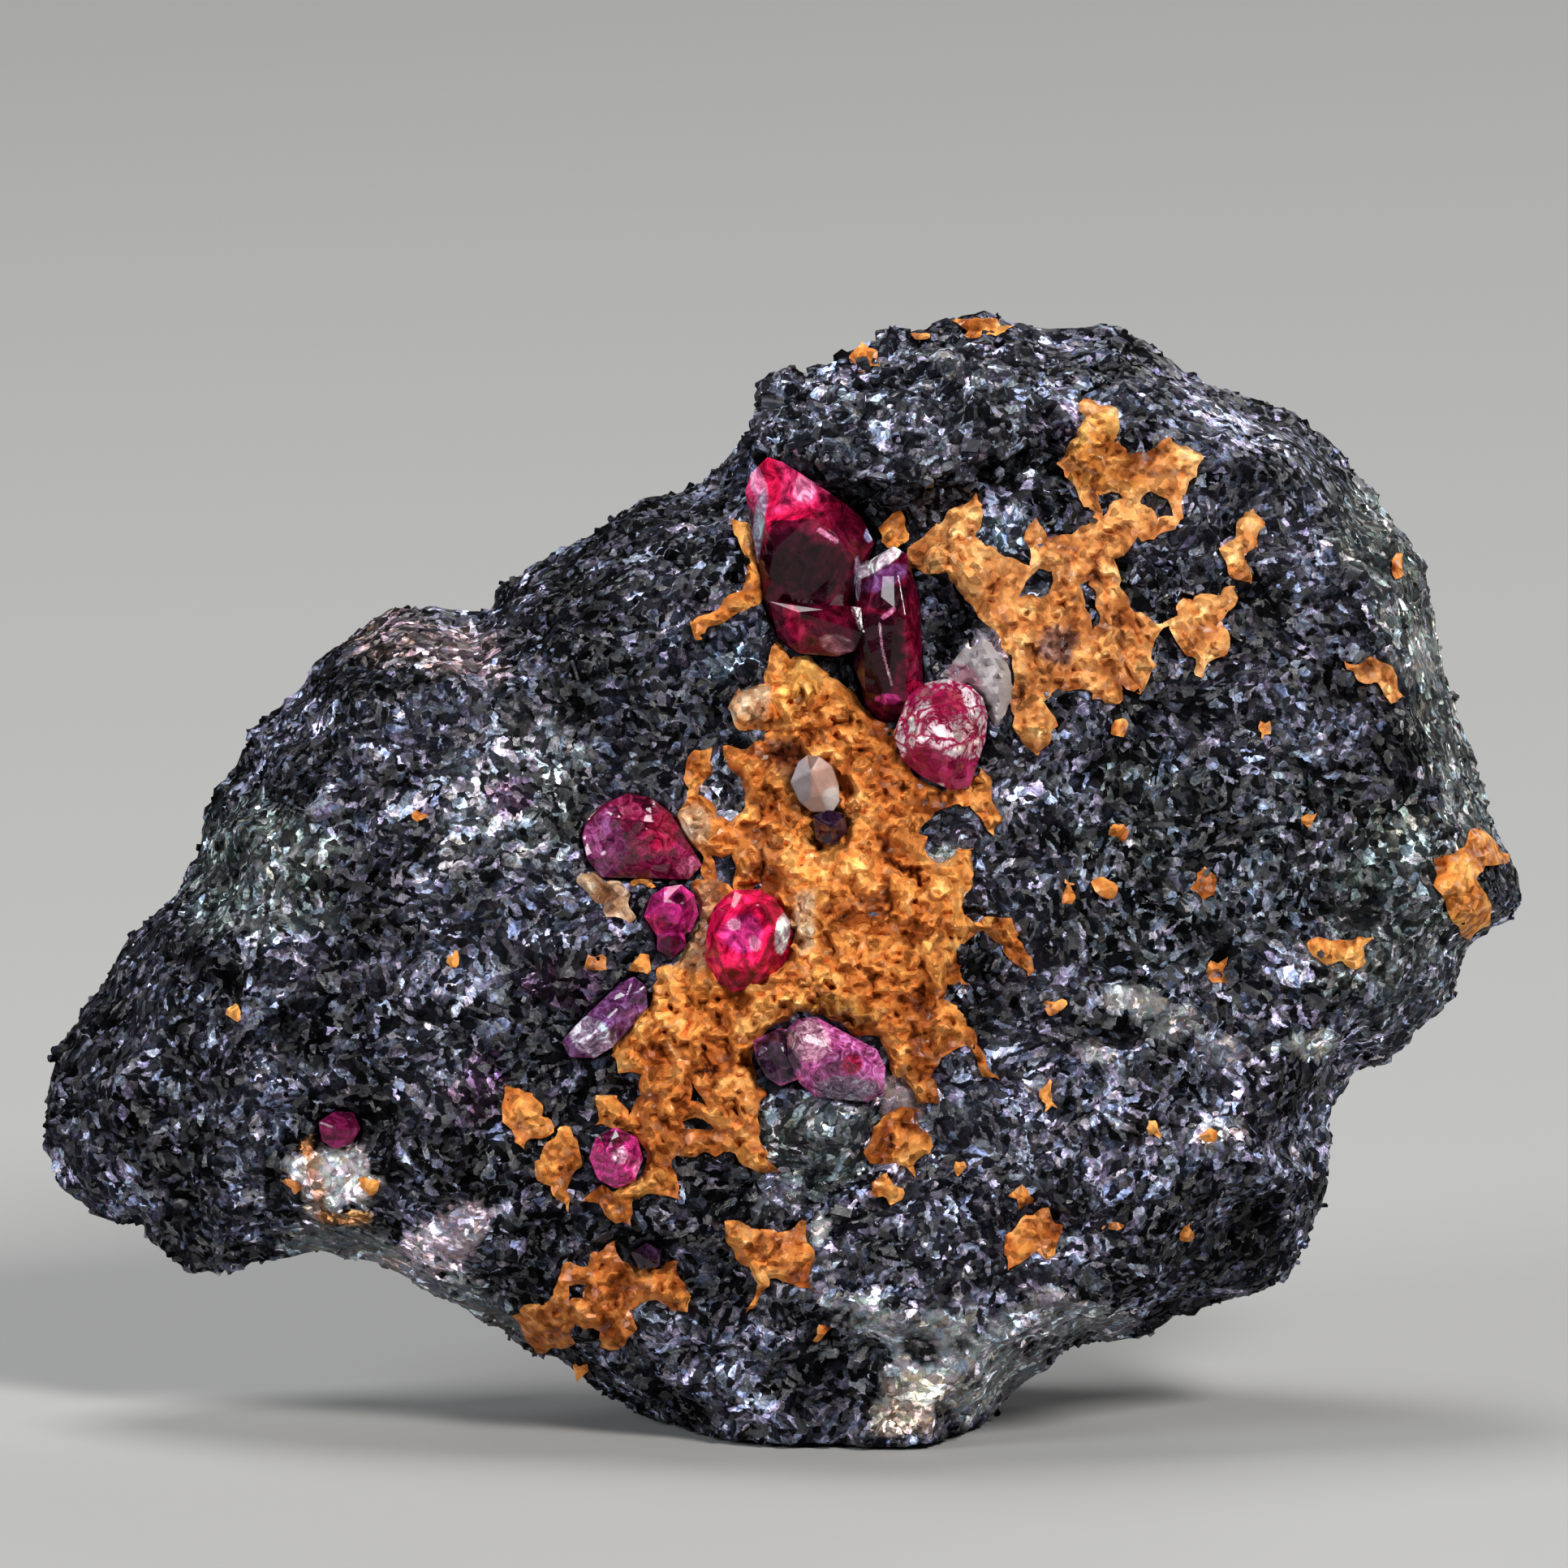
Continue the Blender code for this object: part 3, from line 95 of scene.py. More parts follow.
# Rock colours
DARK_ROCK = (0.023, 0.0228, 0.0315)
LAVENDER_GREY = (0.11, 0.108, 0.135)
PALE_GREY = (0.2, 0.205, 0.205)
GREEN_GREY = (0.085, 0.096, 0.09)
CHALK = (0.52, 0.515, 0.49)
BROWN = (0.09, 0.058, 0.045)
PINKISH = (0.42, 0.27, 0.28)
BLACK = (0.005, 0.005, 0.007)
BLUE_GREY = (0.06, 0.075, 0.1)
VIOLET = (0.085, 0.03, 0.075)

# Patches of rock colour, among them a few painted shadows and a strip of painted light: column, row, half width,
# half height, turn in degrees, colour, strength
ROCK_PATCHES = [
    (320, 1075, 90, 85, 0, GREEN_GREY, 0.6), (495, 785, 115, 40, -18, BROWN, 0.4),
    (560, 800, 60, 30, 0, PINKISH, 0.15), (1210, 1690, 175, 58, -22, (0.3, 0.3, 0.31), 0.95),
    # The chalk-grey strip at column 1330, row 1630 along the lower right underside is chalky rock, with painted
    # light from the right and below laid into it.
    (1330, 1630, 80, 34, -14, (0.3, 0.3, 0.31), 0.8), (1120, 1725, 42, 36, 0, (0.4, 0.32, 0.25), 0.7),
    (1072, 1665, 22, 25, 0, BLACK, 0.9), (1132, 1660, 18, 22, 0, BLACK, 0.85), (1200, 1700, 16, 8, -20, BLACK, 0.8),
    (1262, 1662, 18, 8, -20, BLACK, 0.8), (1182, 1652, 12, 9, 0, BLACK, 0.8), (1290, 1704, 22, 8, -15, BLACK, 0.8),
    # Painted shadow: the black patch at column 1540, row 1540 fills the undercut crevice at the lower right.
    (1335, 1655, 20, 8, -15, BLACK, 0.8), (1540, 1540, 62, 58, 20, BLACK, 0.9),
    (410, 1455, 42, 42, 0, (0.64, 0.58, 0.57), 0.85), (525, 1545, 90, 30, 35, (0.5, 0.4, 0.44), 0.8),
    (1400, 1235, 42, 18, -12, CHALK, 0.45), (1444, 1262, 34, 20, 25, (0.32, 0.3, 0.31), 0.5),
    (1345, 1292, 24, 14, 0, (0.3, 0.28, 0.3), 0.5), (1500, 1292, 30, 16, -20, (0.28, 0.26, 0.29), 0.5),
    (1505, 1392, 40, 18, 12, (0.22, 0.19, 0.2), 0.4), (1640, 1180, 46, 18, -20, (0.3, 0.28, 0.29), 0.4),
    (1760, 800, 32, 32, 0, CHALK, 0.6), (1610, 1285, 32, 18, 0, CHALK, 0.6),
    (630, 975, 100, 100, 0, PALE_GREY, 0.16), (630, 975, 26, 26, 0, VIOLET, 0.45),
    (590, 1350, 32, 50, 0, VIOLET, 0.35), (700, 1208, 50, 28, 0, VIOLET, 0.35),
    (1220, 478, 24, 24, 0, PALE_GREY, 0.6), (1155, 445, 28, 17, 0, PALE_GREY, 0.6),
    (1235, 660, 38, 32, 0, BLUE_GREY, 0.9), (1305, 525, 28, 28, 0, VIOLET, 0.4),
    (962, 1470, 30, 22, 0, LAVENDER_GREY, 0.7), (1037, 1542, 24, 20, 0, LAVENDER_GREY, 0.8),
    (1163, 1052, 13, 11, 0, CHALK, 0.9), (1010, 1510, 9, 17, 10, CHALK, 0.8),
    # The black patch at column 1210, row 1175 is dark crystals in a round cavity, darkened further as painted
    # shade.
    (1010, 1400, 72, 52, 0, GREEN_GREY, 0.55), (1210, 1175, 32, 36, 0, BLACK, 0.85),
    (1170, 770, 32, 62, 0, BLACK, 0.7), (885, 700, 38, 38, 0, BLACK, 0.6), (895, 810, 46, 32, 0, BLUE_GREY, 0.8),
    (1120, 520, 185, 105, 0, (0.06, 0.0605, 0.076), 0.8), (1720, 1120, 90, 140, 0, GREEN_GREY, 0.45),
    (1480, 1050, 190, 130, 10, (0.012, 0.014, 0.015), 0.7), (1108, 1348, 28, 24, 0, PINKISH, 0.7),
    (1215, 830, 36, 52, -30, (0.28, 0.21, 0.23), 0.8), (862, 1140, 24, 56, 0, (0.46, 0.34, 0.22), 0.8),
    (988, 1140, 14, 42, 0, (0.46, 0.34, 0.22), 0.8), (1002, 1146, 14, 36, 0, BROWN, 0.8),
]
# Bands of rock colour along a line, one of them a painted shadow: points, half width in columns, colour, strength
ROCK_BANDS = [
    ([(1700, 650), (1760, 760), (1800, 900), (1840, 1010)], 52, (0.12, 0.13, 0.115), 0.5),
    ([(1840, 1120), (1760, 1230), (1660, 1330), (1630, 1430)], 30, LAVENDER_GREY, 0.3),
    ([(380, 1530), (480, 1560), (620, 1640)], 26, PALE_GREY, 0.6),
    # Painted shadow: the black band along the crease under the overhanging top lump.
    ([(1045, 622), (1085, 640), (1135, 648), (1190, 610), (1245, 575), (1300, 540)], 14, BLACK, 0.9),
    ([(380, 1412), (400, 1500), (450, 1500)], 8, (0.35, 0.15, 0.05), 0.8),
]
# Places where pale grains gather (above 0) or are missing (below 0)
GRAIN_ZONES = [
    (625, 975, 130, 115, 0, 0.42), (335, 1085, 95, 105, 0, 0.45), (1430, 1330, 190, 150, 20, 0.6),
    (1500, 540, 110, 50, 35, 0.3), (1360, 960, 110, 50, 0, 0.4), (520, 1170, 120, 60, 20, 0.3),
    (1560, 1180, 110, 80, 0, 0.35), (700, 1500, 120, 40, 20, 0.25), (1130, 470, 110, 50, 0, 0.25),
    (700, 1370, 130, 110, 0, -0.6), (1330, 1120, 150, 90, 0, -0.6), (500, 1340, 90, 110, 0, -0.5),
    (770, 740, 190, 110, -30, -0.6), (1320, 1540, 110, 60, 0, -0.5), (1540, 760, 110, 110, 0, -0.4),
    (1090, 590, 110, 60, 0, -0.6), (1640, 950, 110, 100, 0, 0.1), (160, 1290, 140, 190, 0, -0.6),
    (1640, 620, 130, 120, 0, -0.3),
]
# Places where the rock is worn smooth: column, row, half width, half height, turn in degrees, strength
WORN_PATCHES = [
    (1560, 545, 190, 60, -28, 0.7), (1780, 850, 60, 190, -14, 0.7), (1225, 1690, 185, 60, -22, 0.6),
    (130, 1230, 80, 130, 25, 0.6), (1010, 1400, 62, 46, 0, 0.6), (450, 1545, 140, 40, 15, 0.6),
    (500, 785, 100, 36, -18, 0.5),
]
# Places of coarse crystals: column, row, half width, half height, turn in degrees, strength
COARSE_PATCHES = [
    (1110, 515, 190, 110, 0, 1.0), (885, 700, 42, 46, 0, 0.9), (895, 812, 52, 36, 0, 0.9),
    (1170, 770, 32, 62, 0, 0.9), (1235, 655, 42, 36, 0, 0.9), (960, 1500, 90, 60, 0, 0.6),
    (1430, 710, 50, 40, 0, 0.7), (1210, 1178, 34, 36, 0, 0.5),
]

# Ochre crust: outline of each patch on the grid, then its holes
CRUST_CENTRE = [
    (955, 784), (966, 800), (975, 815), (1000, 812), (1014, 824), (1032, 840), (1052, 854), (1066, 872),
    (1092, 890), (1106, 908), (1112, 932), (1120, 950), (1136, 964), (1155, 975), (1178, 976), (1196, 968),
    (1206, 946), (1220, 960), (1226, 985), (1230, 1012), (1224, 1030), (1206, 1016), (1196, 992), (1172, 992),
    (1150, 1006), (1134, 1022), (1142, 1046), (1160, 1058), (1180, 1048), (1198, 1048), (1194, 1076),
    (1196, 1090), (1184, 1114), (1196, 1136), (1216, 1134), (1242, 1130), (1250, 1158), (1278, 1194),
    (1264, 1198), (1238, 1168), (1226, 1150), (1196, 1150), (1182, 1172), (1180, 1196), (1194, 1216),
    (1172, 1212), (1162, 1232), (1194, 1260), (1206, 1284), (1226, 1330), (1208, 1322), (1192, 1286),
    (1156, 1302), (1146, 1324), (1156, 1350), (1134, 1356), (1112, 1326), (1092, 1310), (1080, 1278),
    (1050, 1270), (1020, 1248), (984, 1246), (958, 1262), (932, 1278), (926, 1300), (932, 1330), (946, 1350),
    (932, 1374), (936, 1404), (956, 1444), (932, 1436), (904, 1424), (872, 1418), (836, 1424), (828, 1440),
    (840, 1478), (814, 1466), (794, 1468), (780, 1474), (776, 1512), (752, 1500), (738, 1480), (722, 1474),
    (740, 1460), (766, 1462), (790, 1444), (794, 1420), (782, 1394), (758, 1384), (734, 1388), (742, 1368),
    (736, 1350), (762, 1348), (776, 1372), (790, 1352), (790, 1324), (762, 1314), (748, 1296), (766, 1270),
    (782, 1250), (804, 1240), (800, 1214), (818, 1194), (838, 1180), (848, 1156), (866, 1136), (864, 1106),
    (846, 1088), (868, 1078), (862, 1056), (842, 1034), (834, 1006), (848, 978), (842, 946), (856, 922),
    (876, 922), (880, 948), (866, 976), (878, 1000), (906, 1014), (922, 992), (916, 966), (900, 946),
    (892, 922), (912, 920), (934, 914), (946, 900), (912, 896), (896, 876), (908, 848), (938, 846),
    (948, 816),
]
CRUST_CENTRE_HOLES = [
    [(880, 1056), (902, 1052), (910, 1070), (902, 1092), (886, 1082)],
    [(852, 1332), (870, 1352), (868, 1362), (852, 1350)],
    [(842, 1378), (862, 1376), (878, 1388), (850, 1392)],
]
CRUST_UPPER = [
    (1122, 680), (1143, 655), (1150, 644), (1180, 630), (1203, 606), (1206, 630), (1202, 662), (1228, 680),
    (1262, 694), (1262, 664), (1274, 640), (1290, 662), (1306, 664), (1332, 648), (1350, 634), (1334, 624),
    (1318, 592), (1296, 570), (1320, 544), (1336, 528), (1330, 500), (1354, 490), (1378, 506), (1380, 548),
    (1392, 560), (1418, 554), (1442, 540), (1466, 556), (1486, 566), (1470, 582), (1456, 620), (1450, 648),
    (1424, 668), (1396, 666), (1374, 692), (1374, 720), (1398, 752), (1426, 768), (1446, 764), (1456, 736),
    (1490, 734), (1520, 720), (1524, 736), (1506, 764), (1510, 800), (1480, 834), (1462, 812), (1448, 790),
    (1440, 774), (1420, 790), (1424, 822), (1406, 858), (1380, 842), (1380, 860), (1360, 872), (1340, 850),
    (1300, 850), (1288, 868), (1300, 894), (1290, 918), (1278, 933), (1256, 912), (1240, 876), (1250, 840),
    (1242, 808), (1228, 784), (1204, 764), (1184, 740), (1172, 716), (1140, 710), (1122, 706),
]
CRUST_UPPER_HOLES = [
    [(1404, 614), (1420, 610), (1438, 620), (1442, 634), (1424, 640), (1410, 630)],
    [(1258, 738), (1262, 720), (1274, 704), (1290, 702), (1294, 718), (1276, 736)],
    [(1326, 718), (1340, 716), (1354, 768), (1346, 776), (1334, 752)],
    [(1350, 606), (1382, 612), (1364, 624), (1358, 638)],
]
CRUST_STRAND = [
    (896, 642), (916, 644), (928, 664), (938, 696), (944, 736), (924, 752), (890, 770), (856, 788), (848, 772),
    (884, 752), (912, 728), (922, 706), (912, 676),
]
CRUST_BRANCH = [
    (1530, 630), (1544, 626), (1558, 654), (1546, 672), (1530, 690), (1546, 716), (1530, 722), (1508, 696),
    (1502, 676), (1520, 666),
]
CRUST_FAR_RIGHT = [
    (1765, 1055), (1792, 1052), (1808, 1028), (1824, 1019), (1850, 1040), (1868, 1052), (1856, 1068), (1830, 1066),
    (1826, 1084), (1846, 1120), (1838, 1138), (1814, 1162), (1798, 1152), (1786, 1124), (1768, 1094),
]
CRUST_RIGHT = [
    (1654, 814), (1672, 820), (1688, 810), (1716, 824), (1724, 860), (1710, 866), (1696, 842), (1668, 838),
]
CRUST_LOWER_RIGHT = [
    (1086, 1372), (1108, 1366), (1132, 1364), (1130, 1388), (1150, 1406), (1134, 1420), (1122, 1446),
    (1100, 1428), (1078, 1436), (1064, 1414), (1076, 1392),
]
CRUST_CROSS = [
    (1264, 1492), (1288, 1490), (1306, 1526), (1302, 1548), (1270, 1542), (1240, 1562), (1240, 1522),
]
CRUST_LOBE = [
    (620, 1342), (642, 1335), (662, 1354), (684, 1394), (656, 1402), (646, 1416), (628, 1388),
]
CRUST_LOW_LOBE = [
    (684, 1398), (700, 1384), (716, 1402), (712, 1436), (700, 1458), (704, 1490), (684, 1474), (666, 1452),
    (660, 1434), (674, 1416),
]
CRUST_LOWER_LEFT = [
    (632, 1625), (650, 1610), (682, 1596), (690, 1560), (706, 1552), (722, 1556), (734, 1540), (756, 1527),
    (770, 1550), (794, 1562), (836, 1550), (832, 1566), (854, 1596), (842, 1616), (806, 1602), (778, 1612),
    (782, 1636), (764, 1664), (740, 1664), (740, 1640), (706, 1632), (706, 1658), (682, 1662), (662, 1675),
    (642, 1646),
]
CRUST_LOWER_LEFT_HOLES = [[(702, 1580), (720, 1582), (718, 1602), (702, 1600)]]
CRUST_LOWER_MIDDLE = [
    (894, 1508), (914, 1500), (934, 1512), (962, 1512), (992, 1504), (1006, 1548), (992, 1562), (1010, 1594),
    (984, 1584), (952, 1572), (942, 1594), (918, 1616), (930, 1586), (930, 1562), (904, 1548),
]
CRUST_PALE = [
    (706, 1086), (716, 1070), (746, 1084), (764, 1088), (790, 1130), (774, 1134), (748, 1126), (728, 1102),
]
CRUSTS = {
    "crust_centre": (CRUST_CENTRE, CRUST_CENTRE_HOLES, 1.35),
    "crust_upper": (CRUST_UPPER, CRUST_UPPER_HOLES, 1.0),
    "crust_strand": (CRUST_STRAND, [], 0.9),
    "crust_branch": (CRUST_BRANCH, [], 0.8),
    "crust_far_right": (CRUST_FAR_RIGHT, [], 0.8),
    "crust_right": (CRUST_RIGHT, [], 0.8),
    "crust_lower_right": (CRUST_LOWER_RIGHT, [], 0.9),
    "crust_cross": (CRUST_CROSS, [], 0.8),
    "crust_lobe": (CRUST_LOBE, [], 0.9),
    "crust_low_lobe": (CRUST_LOW_LOBE, [], 0.9),
    "crust_lower_left": (CRUST_LOWER_LEFT, CRUST_LOWER_LEFT_HOLES, 0.9),
    "crust_lower_middle": (CRUST_LOWER_MIDDLE, [], 0.9),
    "crust_pale": (CRUST_PALE, [], 0.8),
}
# Small scabs of the same crust: column, row, half width, half height
CRUST_SPECKS = [
    (1100, 656, 18, 24), (1650, 1170, 40, 22), (1725, 695, 10, 18), (1315, 1100, 10, 18), (1360, 1095, 14, 14),
    (1482, 1090, 17, 18), (1378, 1025, 12, 14), (1502, 1195, 17, 18), (1290, 1350, 9, 18), (1257, 1472, 16, 16),
    (1370, 1512, 9, 7), (1465, 1515, 9, 14), (1378, 900, 12, 14), (1065, 440, 24, 16), (1135, 412, 14, 7),
    (1212, 400, 34, 12), (741, 1186, 17, 12), (791, 1186, 15, 12), (795, 1088, 19, 7), (455, 1460, 14, 13),
    (360, 1462, 9, 7), (292, 1247, 7, 11), (712, 1690, 11, 9), (1090, 1462, 18, 20), (1556, 900, 9, 12),
    (1420, 1390, 9, 8), (560, 1180, 8, 8), (1610, 1010, 10, 8), (880, 1240, 12, 8), (1300, 1240, 12, 9),
    (520, 1010, 8, 7), (1180, 1440, 10, 9), (1010, 1640, 11, 8), (1490, 1400, 10, 8),
]

# Crust colours
RUST = (0.54, 0.18, 0.043)
ORANGE = (0.68, 0.26, 0.062)
YELLOW_ORANGE = (0.7, 0.31, 0.1)
GOLD = (0.64, 0.3, 0.065)
BEIGE = (0.5, 0.33, 0.21)
RED_BROWN = (0.165, 0.05, 0.025)
PURPLE_BROWN = (0.16, 0.08, 0.09)
CRUST_COLOURS = {
    "crust_upper": YELLOW_ORANGE, "crust_branch": YELLOW_ORANGE, "crust_right": YELLOW_ORANGE,
    "crust_pale": BEIGE,
}
CRUST_PATCHES = [
    (942, 1038, 20, 26, 0, YELLOW_ORANGE, 0.8), (920, 868, 28, 24, 0, BEIGE, 0.85),
    (852, 1015, 20, 32, 0, BEIGE, 0.8), (990, 838, 26, 26, 0, GOLD, 0.6), (965, 932, 26, 20, -35, RED_BROWN, 0.85),
    (1025, 1252, 52, 22, 0, (0.33, 0.145, 0.03), 0.8), (1305, 792, 32, 24, 0, PURPLE_BROWN, 0.8),
    (1080, 1000, 60, 80, 0, RUST, 0.6), (870, 1350, 90, 60, 0, RUST, 0.7), (1130, 1290, 60, 60, 0, RUST, 0.6),
    (740, 1590, 110, 80, 0, RUST, 0.7), (950, 1550, 80, 60, 0, RUST, 0.6), (1270, 1520, 60, 60, 0, RUST, 0.5),
    (1360, 560, 50, 50, 0, GOLD, 0.6), (1440, 1120, 30, 30, 0, ORANGE, 0.5), (862, 1140, 28, 60, 0, BEIGE, 0.7),
    (990, 1140, 16, 44, 0, BEIGE, 0.7),
]

# Ruby colours
WINE = (0.08, 0.002, 0.014)
DARK_RED = (0.15, 0.003, 0.02)
DEEP_RED = (0.3, 0.004, 0.035)
RED = (0.58, 0.006, 0.055)
RED_PINK = (0.64, 0.03, 0.13)
MAGENTA = (0.42, 0.018, 0.15)
DARK_WINE = (0.012, 0.001, 0.004)
PINK = (0.62, 0.17, 0.33)
PALE_PINK = (0.62, 0.3, 0.4)
# Rose white, used only for painted highlights on ruby faces.
PAINTED_ROSE_HIGHLIGHT = (0.8, 0.68, 0.72)
PURPLE_PINK = (0.23, 0.035, 0.13)
PURPLE = (0.12, 0.03, 0.11)
LILAC = (0.42, 0.32, 0.44)
PURPLE_BLACK = (0.022, 0.006, 0.02)
CLEAR_RUBIES = ("ruby_cluster", "ruby_small_round", "ruby_bright", "ruby_far_left")
RUBY_COLOURS = {
    "ruby_cluster": WINE, "ruby_speckled": (0.64, 0.5, 0.55), "ruby_embedded": (0.17, 0.008, 0.04),
    "ruby_small_round": MAGENTA, "ruby_bright": RED, "ruby_pink": (0.35, 0.06, 0.2),
    "ruby_flat": PURPLE, "ruby_low": MAGENTA, "ruby_dark_small": PURPLE_BLACK,
    "ruby_far_left": (0.2, 0.01, 0.07), "ruby_low_dark": PURPLE_BLACK,
}
# Patches of ruby colour: column, row, half width, half height, turn in degrees, colour, strength; a few are painted
# highlights and glints.
RUBY_PATCHES = [
    (966, 604, 48, 36, 10, RED_PINK, 1.0), (950, 590, 12, 34, 8, RED, 0.95), (990, 632, 44, 8, 10, RED, 0.7),
    (990, 605, 15, 16, 20, PINK, 0.7), (935, 600, 9, 26, 14, PINK, 0.7), (933, 660, 7, 48, -8, LILAC, 0.95),
    (945, 655, 4, 30, -8, RED, 0.8), (975, 690, 34, 46, 20, DARK_WINE, 0.9),
    (1008, 704, 36, 34, -30, DARK_WINE, 0.9), (990, 736, 36, 13, 8, DARK_WINE, 0.8),
    (1015, 640, 22, 18, 35, DARK_RED, 0.9), (1050, 700, 24, 40, 0, (0.09, 0.003, 0.016), 0.8),
    # Painted highlights: the blue glint at column 1070 and the white slanted facet at column 1085.
    (1070, 661, 6, 9, 0, (0.45, 0.5, 0.8), 0.8), (1085, 692, 34, 9, 32, PAINTED_ROSE_HIGHLIGHT, 0.95),
    (1090, 714, 30, 12, 32, PURPLE, 0.95), (1056, 715, 4, 26, 0, LILAC, 0.8),
    (1078, 806, 30, 58, 0, DARK_WINE, 0.95), (1094, 740, 26, 14, 20, DARK_WINE, 0.8),
    # Painted glint: the small magenta patch at column 1094, row 862.
    (1122, 800, 9, 70, 0, DARK_RED, 0.95), (1094, 862, 14, 6, 0, MAGENTA, 0.9),
    (978, 768, 12, 24, 25, DEEP_RED, 0.8), (1030, 760, 34, 12, 15, DARK_RED, 0.8),
    (1032, 795, 22, 12, -10, (0.26, 0.1, 0.12), 0.8), (1190, 912, 20, 20, 0, (0.56, 0.32, 0.32), 0.85),
    (1168, 868, 20, 18, 0, DEEP_RED, 0.95), (1132, 950, 42, 28, 22, (0.38, 0.01, 0.085), 1.0),
    (1182, 955, 30, 22, -20, (0.38, 0.01, 0.085), 1.0), (1135, 852, 24, 9, -30, DEEP_RED, 0.8),
    (745, 1040, 28, 42, 0, PURPLE_PINK, 0.85), (815, 1025, 22, 26, 0, DEEP_RED, 0.7),
    (850, 1068, 18, 14, 20, (0.3, 0.06, 0.13), 0.8), (826, 1112, 20, 14, 0, MAGENTA, 0.8),
    (808, 1138, 13, 12, 0, RED_PINK, 0.8), (838, 1106, 8, 7, 0, DARK_WINE, 0.8),
    (830, 1164, 18, 14, 0, DARK_WINE, 0.8), (915, 1148, 26, 24, 0, (0.48, 0.03, 0.18), 0.85),
    (905, 1138, 9, 8, 0, PALE_PINK, 0.7), (930, 1160, 7, 10, 20, PALE_PINK, 0.5),
    # Painted glint: the rose-white patch on the right edge of the bright ruby at column 964.
    (964, 1150, 9, 26, -8, PAINTED_ROSE_HIGHLIGHT, 0.9), (915, 1206, 40, 12, 0, DEEP_RED, 0.95),
    (958, 1300, 28, 34, 0, PURPLE_BLACK, 0.95), (998, 1280, 24, 24, 0, PALE_PINK, 0.75),
    (1042, 1337, 40, 16, 0, (0.24, 0.16, 0.23), 0.9), (1050, 1308, 14, 14, 0, DEEP_RED, 0.9),
    (732, 1276, 34, 20, -35, LILAC, 0.8), (766, 1422, 11, 10, 0, PALE_PINK, 0.75),
    (760, 1398, 22, 8, 0, DARK_WINE, 0.8), (788, 1438, 7, 14, 0, PINK, 0.6),
]
RUBY_BANDS = [
    # Painted glint: the thin pale pink line down the right crystal of the cluster.
    ([(1083, 770), (1086, 800), (1098, 845)], 1.3, PALE_PINK, 0.5),
    ([(1000, 760), (1040, 748), (1096, 757)], 3.0, DARK_RED, 0.7),
    ([(1088, 762), (1100, 752)], 2.5, PINK, 0.6),
    ([(1010, 655), (1030, 668)], 3.0, PINK, 0.7),
    ([(945, 640), (1000, 638)], 3.0, RED, 0.8),
]

SEED = 1207
noise.seed_set(SEED)


def on_face(column, row):
    """Grid position to metres on the broad face: right of the middle, and up from the foot row."""
    return ((column - MID_COLUMN) * GRID_STEP, (FOOT_ROW - row) * GRID_STEP)


def outline_on_face(outline):
    return np.array([on_face(c, r) for c, r in outline])


def corners_of(thing):
    places = np.empty(len(thing.data.vertices) * 3)
    thing.data.vertices.foreach_get("co", places)
    return places.reshape(-1, 3)


def face_shift():
    """Where the grid of the broad face lies in the frame, read from the top and right ends of the ruby cluster."""
    spots = corners_of(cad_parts["ruby_cluster"])
    right, top = on_face(CLUSTER_RIGHT_COLUMN, CLUSTER_TOP_ROW)
    upward = (spots[:, 2] * math.cos(LEAN) + spots[:, 1] * math.sin(LEAN)).max()
    return spots[:, 0].max() - right, upward - top


SIDE_SHIFT, UP_SHIFT = face_shift()


def to_face(spots):
    """Right, height toward the viewer and up, all on the broad face."""
    u = spots[:, 0] - SIDE_SHIFT
    d = spots[:, 2] * math.sin(LEAN) - spots[:, 1] * math.cos(LEAN) - DEPTH_SHIFT
    w = spots[:, 2] * math.cos(LEAN) + spots[:, 1] * math.sin(LEAN) - UP_SHIFT
    return u, d, w


def from_face(u, d, w):
    """Back from the broad face into the frame."""
    forward = np.asarray(d) + DEPTH_SHIFT
    upward = np.asarray(w) + UP_SHIFT
    y = upward * math.sin(LEAN) - forward * math.cos(LEAN)
    z = upward * math.cos(LEAN) + forward * math.sin(LEAN)
    return np.stack([np.asarray(u) + SIDE_SHIFT, y, z], axis=-1)


def to_grid(u, w):
    """Metres on the broad face back to column and row."""
    return u / GRID_STEP + MID_COLUMN, FOOT_ROW - w / GRID_STEP


def grid_places(spots):
    u, _d, w = to_face(spots)
    return to_grid(u, w)


def soft_noise(spots, wave, shift, detail=2):
    """Fractal noise at each spot, about -1 to 1."""
    return np.array([noise.fractal(Vector(p) / wave + Vector((shift, -shift, shift)), 0.9, 2.1, detail)
                     for p in spots])


def near_ellipse(columns, rows, patch, ragged):
    """1 inside a patch, 0 outside, with a soft and ragged edge."""
    column, row, half_width, half_height, turn = patch[:5]
    lean = math.radians(turn)
    right = (columns - column) * math.cos(lean) - (rows - row) * math.sin(lean)
    down = (columns - column) * math.sin(lean) + (rows - row) * math.cos(lean)
    reach = np.hypot(right / half_width, down / half_height)
    return np.clip((1.0 + ragged * 0.45 - reach) / 0.22 + 0.5, 0.0, 1.0)


